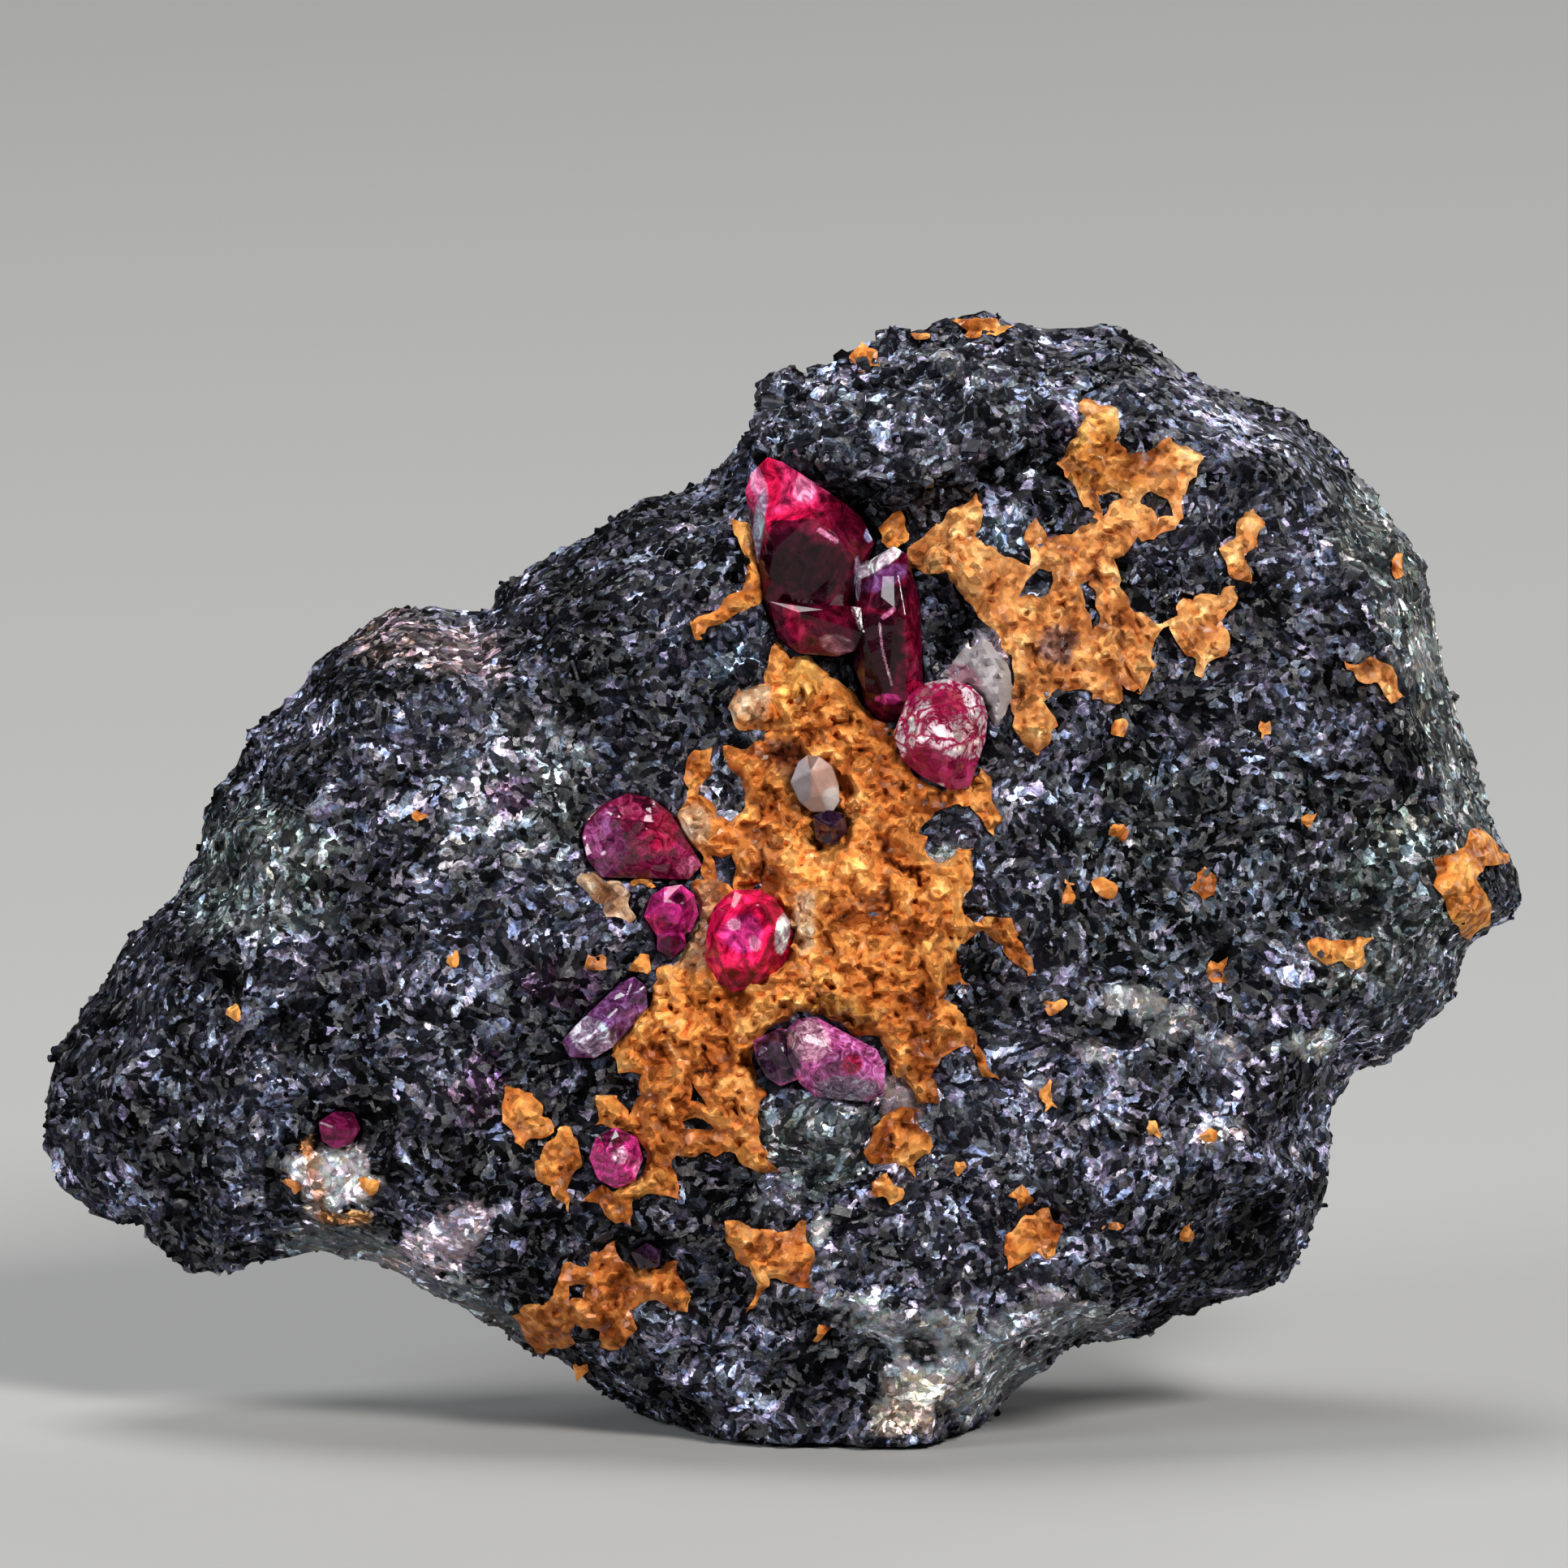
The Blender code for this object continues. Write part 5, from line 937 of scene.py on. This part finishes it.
def scatter_tree(name):
    """Grains stood on a skin: how many follows a share painted on it; each has its own turn, size and tone."""
    tree = bpy.data.node_groups.new(name, "GeometryNodeTree")
    face = tree.interface
    face.new_socket("Geometry", in_out="INPUT", socket_type="NodeSocketGeometry")
    for label, kind in (("Share", "NodeSocketString"), ("Per square metre", "NodeSocketFloat"),
                        ("Seed", "NodeSocketInt"), ("Smallest", "NodeSocketVector"),
                        ("Largest", "NodeSocketVector"), ("Finish", "NodeSocketMaterial")):
        face.new_socket(label, in_out="INPUT", socket_type=kind)
    face.new_socket("Geometry", in_out="OUTPUT", socket_type="NodeSocketGeometry")
    given = tree.nodes.new("NodeGroupInput")
    share = add(tree, "GeometryNodeInputNamedAttribute", data_type="FLOAT")
    wire(tree, given, "Share", share, "Name")
    often = add(tree, "ShaderNodeMath", operation="MULTIPLY")
    wire(tree, share, "Attribute", often, 0)
    wire(tree, given, "Per square metre", often, 1)
    spread = add(tree, "GeometryNodeDistributePointsOnFaces", distribute_method="RANDOM")
    wire(tree, given, "Geometry", spread, "Mesh")
    wire(tree, often, "Value", spread, "Density")
    wire(tree, given, "Seed", spread, "Seed")
    inward = add(tree, "ShaderNodeVectorMath", {"Scale": -GRAIN_SINK}, operation="SCALE")
    wire(tree, spread, "Normal", inward, 0)
    sunk = tree.nodes.new("GeometryNodeSetPosition")
    wire(tree, spread, "Points", sunk, "Geometry")
    wire(tree, inward, "Vector", sunk, "Offset")
    brick = add(tree, "GeometryNodeMeshCube", {"Size": (1.0, 0.8, 0.7)})
    prism = add(tree, "GeometryNodeMeshCylinder", {"Vertices": 6, "Radius": 0.42, "Depth": 1.15})
    nugget = add(tree, "GeometryNodeMeshIcoSphere", {"Radius": 0.55, "Subdivisions": 1})
    shapes = tree.nodes.new("GeometryNodeJoinGeometry")
    for shape in (nugget, prism, brick):
        one = tree.nodes.new("GeometryNodeGeometryToInstance")
        wire(tree, shape, "Mesh", one, "Geometry")
        wire(tree, one, "Instances", shapes, "Geometry")
    turn = add(tree, "FunctionNodeRandomValue", data_type="FLOAT_VECTOR")
    turn.inputs[1].default_value = (math.tau, math.tau, math.tau)
    wire(tree, given, "Seed", turn, "Seed")
    size = add(tree, "FunctionNodeRandomValue", data_type="FLOAT_VECTOR")
    wire(tree, given, "Smallest", size, 0)
    wire(tree, given, "Largest", size, 1)
    wire(tree, given, "Seed", size, "Seed")
    which = add(tree, "FunctionNodeRandomValue", data_type="INT")
    which.inputs[4].default_value = 0
    which.inputs[5].default_value = 2
    wire(tree, given, "Seed", which, "Seed")
    stand = add(tree, "GeometryNodeInstanceOnPoints", {"Pick Instance": True})
    wire(tree, sunk, "Geometry", stand, "Points")
    wire(tree, shapes, "Geometry", stand, "Instance")
    wire(tree, which, 2, stand, "Instance Index")
    wire(tree, turn, 0, stand, "Rotation")
    wire(tree, size, 0, stand, "Scale")
    own = add(tree, "FunctionNodeRandomValue", data_type="FLOAT")
    wire(tree, given, "Seed", own, "Seed")
    keep = add(tree, "GeometryNodeStoreNamedAttribute", {"Name": "own_tone"}, data_type="FLOAT",
               domain="INSTANCE")
    wire(tree, stand, "Instances", keep, "Geometry")
    wire(tree, own, 1, keep, "Value")
    real = tree.nodes.new("GeometryNodeRealizeInstances")
    wire(tree, keep, "Geometry", real, "Geometry")
    flat = add(tree, "GeometryNodeSetShadeSmooth", {"Shade Smooth": False})
    wire(tree, real, "Geometry", flat, "Geometry")
    paint = tree.nodes.new("GeometryNodeSetMaterial")
    wire(tree, flat, "Geometry", paint, "Geometry")
    wire(tree, given, "Finish", paint, "Material")
    done = tree.nodes.new("NodeGroupOutput")
    wire(tree, paint, "Geometry", done, "Geometry")
    return tree


def scatter(tree, skin, name, values):
    """One piece of grains over the skin; values go to the named inputs."""
    piece = link(name, skin.data.copy())
    piece.data.materials.clear()
    grow = piece.modifiers.new("grow", "NODES")
    grow.node_group = tree
    for item in tree.interface.items_tree:
        if item.item_type == "SOCKET" and item.in_out == "INPUT" and item.name in values:
            grow[item.identifier] = values[item.name]
    bake(piece)
    for extra in ("grain_share", "pale_share", "pale_here", "coarse_share"):
        if extra in piece.data.attributes:
            piece.data.attributes.remove(piece.data.attributes[extra])
    return piece


def closed_sheet(name, flat, faces, front, back):
    """A closed body from one flat net of triangles on the face and its front and back heights."""
    count = len(flat)
    sides = {}
    for f in faces:
        for a, b in ((f[0], f[1]), (f[1], f[2]), (f[2], f[0])):
            sides.setdefault((min(a, b), max(a, b)), []).append((int(a), int(b)))
    border = [runs[0] for runs in sides.values() if len(runs) == 1]
    verts = np.concatenate([from_face(flat[:, 0], front, flat[:, 1]), from_face(flat[:, 0], back, flat[:, 1])])
    out = []
    for a, b, c in faces:
        out.append((int(a), int(b), int(c)))
        out.append((int(c) + count, int(b) + count, int(a) + count))
    out += [(b, a, a + count, b + count) for a, b in border]
    mesh = bpy.data.meshes.new(name)
    mesh.from_pydata([tuple(v) for v in verts], [], out)
    return link(name, mesh)


def ragged_loop(loop, seed):
    """The outline with a small torn edge."""
    fine = resampled(loop, CRUST_EDGE_SPACING)
    moved = []
    for x, y in fine:
        place = Vector((x, y, 0.0)) / (0.8 * MM) + Vector((seed, seed, 0.0))
        side = noise.noise_vector(place)
        moved.append((x + side.x * CRUST_RAGGED, y + side.y * CRUST_RAGGED))
    return np.array(moved)


def crumple(points, shift):
    """Folds and small broken faces, about -0.4 to 1; below 0 the crust is missing."""
    out = []
    for x, y in points:
        place = Vector((x, y, 0.0)) / CRUST_FOLD + Vector((shift, 0.0, 0.0))
        bent = place + noise.noise_vector(place * 0.8) * 0.5
        middle = noise.voronoi(bent)[1][0]
        turn = noise.cell_vector(middle * 31.0)
        face = (turn.z - 0.5) + 1.5 * ((turn.x - 0.5) * (bent.x - middle.x) + (turn.y - 0.5) * (bent.y - middle.y))
        small = noise.voronoi(bent * 2.3)[1][0]
        turn = noise.cell_vector(small * 17.0)
        chip = (turn.z - 0.5) + 1.6 * ((turn.x - 0.5) * (bent.x * 2.3 - small.x)
                                       + (turn.y - 0.5) * (bent.y * 2.3 - small.y))
        folds = noise.noise(place * 0.55)
        fine_noise = noise.noise(place * 5.0)
        out.append(0.46 + 0.55 * face + 0.34 * chip + 0.55 * folds + 0.1 * fine_noise)
    return np.clip(np.array(out), -0.4, 1.15)


def make_sheet(name, outline, holes, fullness, tree, seed, deepest=0.05):
    """One patch of crust: it follows the rock, thin at a torn edge, folded and pitted within."""
    rng = random.Random(seed)
    rings = [ragged_loop(loop, 3.0 + seed) for loop in [outline] + holes]
    grid = hex_points(rings[0].min(axis=0), rings[0].max(axis=0), CRUST_SPACING, 0.2, rng)
    keep = inside_loop(grid, rings[0])
    away = distance_to_loop(grid, rings[0])
    for ring in rings[1:]:
        keep &= ~inside_loop(grid, ring)
        away = np.minimum(away, distance_to_loop(grid, ring))
    points = np.concatenate(rings + [grid[keep & (away > 0.55 * CRUST_SPACING)]])
    edges = []
    start = 0
    for ring in rings:
        edges += [(start + k, start + (k + 1) % len(ring)) for k in range(len(ring))]
        start += len(ring)
    made = delaunay_2d_cdt([Vector(p) for p in points], edges, [], 0, 1e-9)
    flat = np.array([(v.x, v.y) for v in made[0]])
    faces = np.array(made[2])
    middles = flat[faces].mean(axis=1)
    keep = inside_loop(middles, rings[0])
    for ring in rings[1:]:
        keep &= ~inside_loop(middles, ring)
    faces = faces[keep]
    away = np.full(len(flat), np.inf)
    for ring in rings:
        away = np.minimum(away, distance_to_loop(flat, ring))
    floor = np.zeros(len(flat))
    for k, (u, w) in enumerate(flat):
        near = [front_of(tree, u + FLOOR_REACH * right, w + FLOOR_REACH * up)
                for right, up in ((0, 0), (1, 0), (-1, 0), (0, 1), (0, -1))]
        near = [value for value in near if value is not None]
        floor[k] = 0.5 * (max(near) + sum(near) / len(near)) if near else 0.0
    floor = np.maximum(floor, floor.max() - deepest)
    swell = np.clip(away / CRUST_EDGE_RISE, 0.0, 1.0) ** 0.6
    folds = crumple(flat, float(seed))
    rise = CRUST_RISE * fullness * (swell * np.maximum(folds, 0.0) + 0.5 * np.minimum(folds + 0.12, 0.0))
    sheet = closed_sheet(name, flat, faces, floor + CRUST_LIP + rise, floor - CRUST_ROOT)
    store_value(sheet, "lift", np.concatenate([folds, folds]))
    return sheet


def speck_outline(column, row, half_width, half_height, seed):
    """A small ragged blob on the grid."""
    rng = random.Random(seed)
    out = []
    for k in range(11):
        angle = math.tau * k / 11
        reach = rng.uniform(0.65, 1.2)
        out.append((column + math.cos(angle) * half_width * reach, row + math.sin(angle) * half_height * reach))
    return outline_on_face(out)


def finish_sheet(piece, finish, plain, patches):
    """Colour a sheet and shade it as crumpled."""
    piece.data.materials.append(finish)
    store_colour(piece, "tone_colour", painted(corners_of(piece), plain, patches))
    piece.data.shade_smooth()
    bm = bmesh.new()
    bm.from_mesh(piece.data)
    bmesh.ops.delete(bm, geom=[v for v in bm.verts if not v.link_faces], context="VERTS")
    bmesh.ops.recalc_face_normals(bm, faces=bm.faces)
    for edge in bm.edges:
        edge.smooth = edge.calc_face_angle(3.2) < math.radians(26.0)
    bm.to_mesh(piece.data)
    bm.free()


def make_crystal(node, finish, plain, patches, bands=()):
    """A crystal: flat faces with worn edges, each face a little lighter or darker than the next."""
    piece = copy_of(node, node + "_crystal")
    rng = random.Random(len(node) + len(piece.data.vertices))
    bm = bmesh.new()
    bm.from_mesh(piece.data)
    bmesh.ops.dissolve_limit(bm, angle_limit=math.radians(3.0), verts=bm.verts, edges=bm.edges)
    tones = bm.faces.layers.float.new("face_tone")
    for face in bm.faces:
        face[tones] = rng.uniform(*FACE_TONES)
    bmesh.ops.bevel(bm, geom=bm.edges[:], offset=CRYSTAL_WEAR, segments=1, affect="EDGES", clamp_overlap=True)
    bmesh.ops.triangulate(bm, faces=bm.faces)
    for _ in range(5):
        long = [e for e in bm.edges if e.calc_length() > CRYSTAL_SPACING]
        if not long:
            break
        bmesh.ops.subdivide_edges(bm, edges=long, cuts=1)
        bmesh.ops.triangulate(bm, faces=bm.faces)
    middle = sum((v.co for v in bm.verts), Vector()) / len(bm.verts)
    reach = max((v.co - middle).length for v in bm.verts)
    for vert in bm.verts:
        vert.co = middle + (vert.co - middle) * (1.0 + CRYSTAL_GROWTH / reach)
    bmesh.ops.recalc_face_normals(bm, faces=bm.faces)
    for edge in bm.edges:
        edge.smooth = edge.calc_face_angle(3.2) < math.radians(10.0)
    for face in bm.faces:
        face.smooth = True
    bm.to_mesh(piece.data)
    bm.free()
    piece.data.materials.clear()
    piece.data.materials.append(finish)
    middles = np.empty(len(piece.data.polygons) * 3)
    piece.data.polygons.foreach_get("center", middles)
    colours = painted(middles.reshape(-1, 3), plain, patches, bands, ragged_edge=0.45)
    own = np.empty(len(piece.data.polygons), dtype=np.float32)
    piece.data.attributes["face_tone"].data.foreach_get("value", own)
    colours = np.clip(colours * own[:, None], 0.0, 1.0)
    store_colour(piece, "tone_colour", colours, "FACE")
    piece.data.attributes.remove(piece.data.attributes["face_tone"])
    return piece


def show(piece, slot, *nodes):
    """Put a finished piece on the stone in place of its solids."""
    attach(piece, "root")
    if nodes:
        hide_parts(*nodes)


rock = make_rock()
rock.data.materials.clear()
rock.data.materials.append(schist_skin())
cad_rock = copy_of("matrix", "rock_under_crust")
cad_tree = tree_of(cad_rock)
drop(cad_rock)

dark_grain = grain_material("dark_grain", [(0.0, 0.25), (0.4, 0.7), (0.75, 1.2),
                                           (1.0, (2.2, 2.3, 2.6))], 1.0)
pale_grain = grain_material("pale_grain", [(0.0, (1.2, 1.1, 1.4)), (0.5, (2.0, 2.1, 1.9)),
                                           (1.0, (3.5, 3.2, 3.6))], 0.5)
grains = scatter_tree("grains_on_rock")
few = 1.0
scatters = [
    ("dark_grains", dark_grain, "grain_share", 1.05e6 * few, (0.24, 0.22, 0.3), (0.52, 0.6, 1.0)),
    ("pale_grains", pale_grain, "pale_share", 0.80e6 * few, (0.16, 0.16, 0.16), (0.32, 0.36, 0.48)),
    ("coarse_crystals", dark_grain, "coarse_share", 0.8e6, (0.55, 0.55, 0.9), (0.95, 1.1, 2.0)),
]
pieces = []
for number, (name, finish, share, often, low, high) in enumerate(scatters):
    pieces.append(scatter(grains, rock, name, {
        "Share": share, "Per square metre": often, "Seed": SEED + number,
        "Smallest": [v * MM for v in low], "Largest": [v * MM for v in high], "Finish": finish}))
show(rock, "schist", "matrix")
for piece in pieces:
    show(piece, "schist")

ochre = ochre_material()
for number, (node, (outline, holes, fullness)) in enumerate(CRUSTS.items()):
    sheet = make_sheet(node + "_sheet", outline_on_face(outline), [outline_on_face(h) for h in holes], fullness,
                       cad_tree, number)
    finish_sheet(sheet, ochre, CRUST_COLOURS.get(node, ORANGE), CRUST_PATCHES)
    show(sheet, "ochre", node)
for number, speck in enumerate(CRUST_SPECKS):
    sheet = make_sheet(f"crust_speck_{number}", speck_outline(*speck, number), [], SPECK_FULLNESS, cad_tree,
                       FIRST_SPECK_SEED + number, SPECK_DEPTH)
    finish_sheet(sheet, ochre, ORANGE, CRUST_PATCHES)
    show(sheet, "ochre")

ruby_clear = ruby_material("ruby_clear", 0.2, 2500.0, (800.0, 0.9), (700.0, 0.2), 0.06)
ruby_milky = ruby_material("ruby_milky", 0.1, 0.0, (1500.0, 0.95), (1500.0, 0.6), 0.25)
ruby_veined = ruby_material("ruby_veined", 0.1, 0.0, (1300.0, 0.4), (1500.0, 0.6), 0.25, True)
for node, plain in RUBY_COLOURS.items():
    finish = ruby_clear if node in CLEAR_RUBIES else ruby_milky
    if node == "ruby_speckled":
        finish = ruby_veined
    show(make_crystal(node, finish, plain, RUBY_PATCHES, RUBY_BANDS), "ruby", node)
RIND_OUTLINE = [
    (1160, 838), (1172, 818), (1190, 798), (1212, 786), (1226, 796), (1238, 822), (1248, 850), (1244, 878),
    (1228, 892), (1214, 884), (1206, 860), (1190, 846),
]
RIND_PATCHES = [
    (1188, 838, 30, 14, -35, (0.34, 0.14, 0.19), 0.85),
    (1238, 840, 10, 40, 0, (0.34, 0.29, 0.26), 0.7),
]
rind = make_sheet("feldspar_rind", outline_on_face(RIND_OUTLINE), [], RIND_FULLNESS, cad_tree, RIND_SEED)
finish_sheet(rind, flake_material("feldspar_rind_finish"), (0.46, 0.42, 0.43), RIND_PATCHES)
show(rind, "feldspar")
FLAKE_PATCHES = [
    (985, 962, 14, 32, 0, (0.17, 0.16, 0.18), 0.8),
    (1026, 985, 12, 18, 0, (0.42, 0.36, 0.34), 0.9),
]
flake = make_crystal("feldspar_flake", flake_material("feldspar_flake_finish"), (0.33, 0.19, 0.15), FLAKE_PATCHES)
show(flake, "feldspar", "feldspar_flake")

# Floor, lights and camera
bpy.ops.mesh.primitive_plane_add(size=3.0, location=(0.0, 0.0, -0.0002))
floor = bpy.context.object
floor.name = "floor"
pale, pale_tree, pale_shader = new_material("pale_floor")
pale_shader.inputs["Base Color"].default_value = (0.38, 0.38, 0.375, 1.0)
pale_shader.inputs["Roughness"].default_value = 0.9
pale_shader.inputs["Specular IOR Level"].default_value = 0.0
floor.data.materials.append(pale)

world = bpy.data.worlds.new("studio")
world.use_nodes = True
world.node_tree.nodes["Background"].inputs["Color"].default_value = (0.8, 0.83, 0.88, 1.0)
world.node_tree.nodes["Background"].inputs["Strength"].default_value = 0.05
bpy.context.scene.world = world


def soft_light(name, place, aim, size, power, colour=(1.0, 1.0, 1.0)):
    data = bpy.data.lights.new(name, "AREA")
    data.size = size
    data.energy = power
    data.color = colour
    lamp = bpy.data.objects.new(name, data)
    bpy.context.scene.collection.objects.link(lamp)
    lamp.location = place
    lamp.rotation_euler = (Vector(aim) - Vector(place)).to_track_quat("-Z", "Y").to_euler()


middle = (0.0, 0.0, 0.03)
soft_light("key", (0.6, -1.0, 0.9), middle, 0.36, 21.0, (1.0, 0.98, 0.95))
soft_light("fill", (-1.0, -0.75, 0.5), middle, 0.45, 9.5, (0.93, 0.96, 1.0))
soft_light("top", (-0.18, 0.24, 1.2), middle, 0.5, 9.0)
soft_light("back", (0.6, 1.2, 0.75), middle, 0.9, 7.0)

FRAME_COLUMNS = 1932.0
VIEW_DISTANCE = 1.2
SCALE_DEPTH = 6.0 * MM
u, w = on_face(FRAME_COLUMNS / 2.0, FRAME_COLUMNS / 2.0)
eye = bpy.data.cameras.new("camera")
camera = bpy.data.objects.new("camera", eye)
bpy.context.scene.collection.objects.link(camera)
camera.location = from_face(u, SCALE_DEPTH + VIEW_DISTANCE, w)
camera.rotation_euler = (math.radians(90.0) - LEAN, 0.0, 0.0)
eye.sensor_width = 36.0
eye.lens = 36.0 * VIEW_DISTANCE / (FRAME_COLUMNS * GRID_STEP)
eye.clip_end = 20.0
bpy.context.scene.camera = camera
bpy.context.scene.view_settings.view_transform = "Standard"
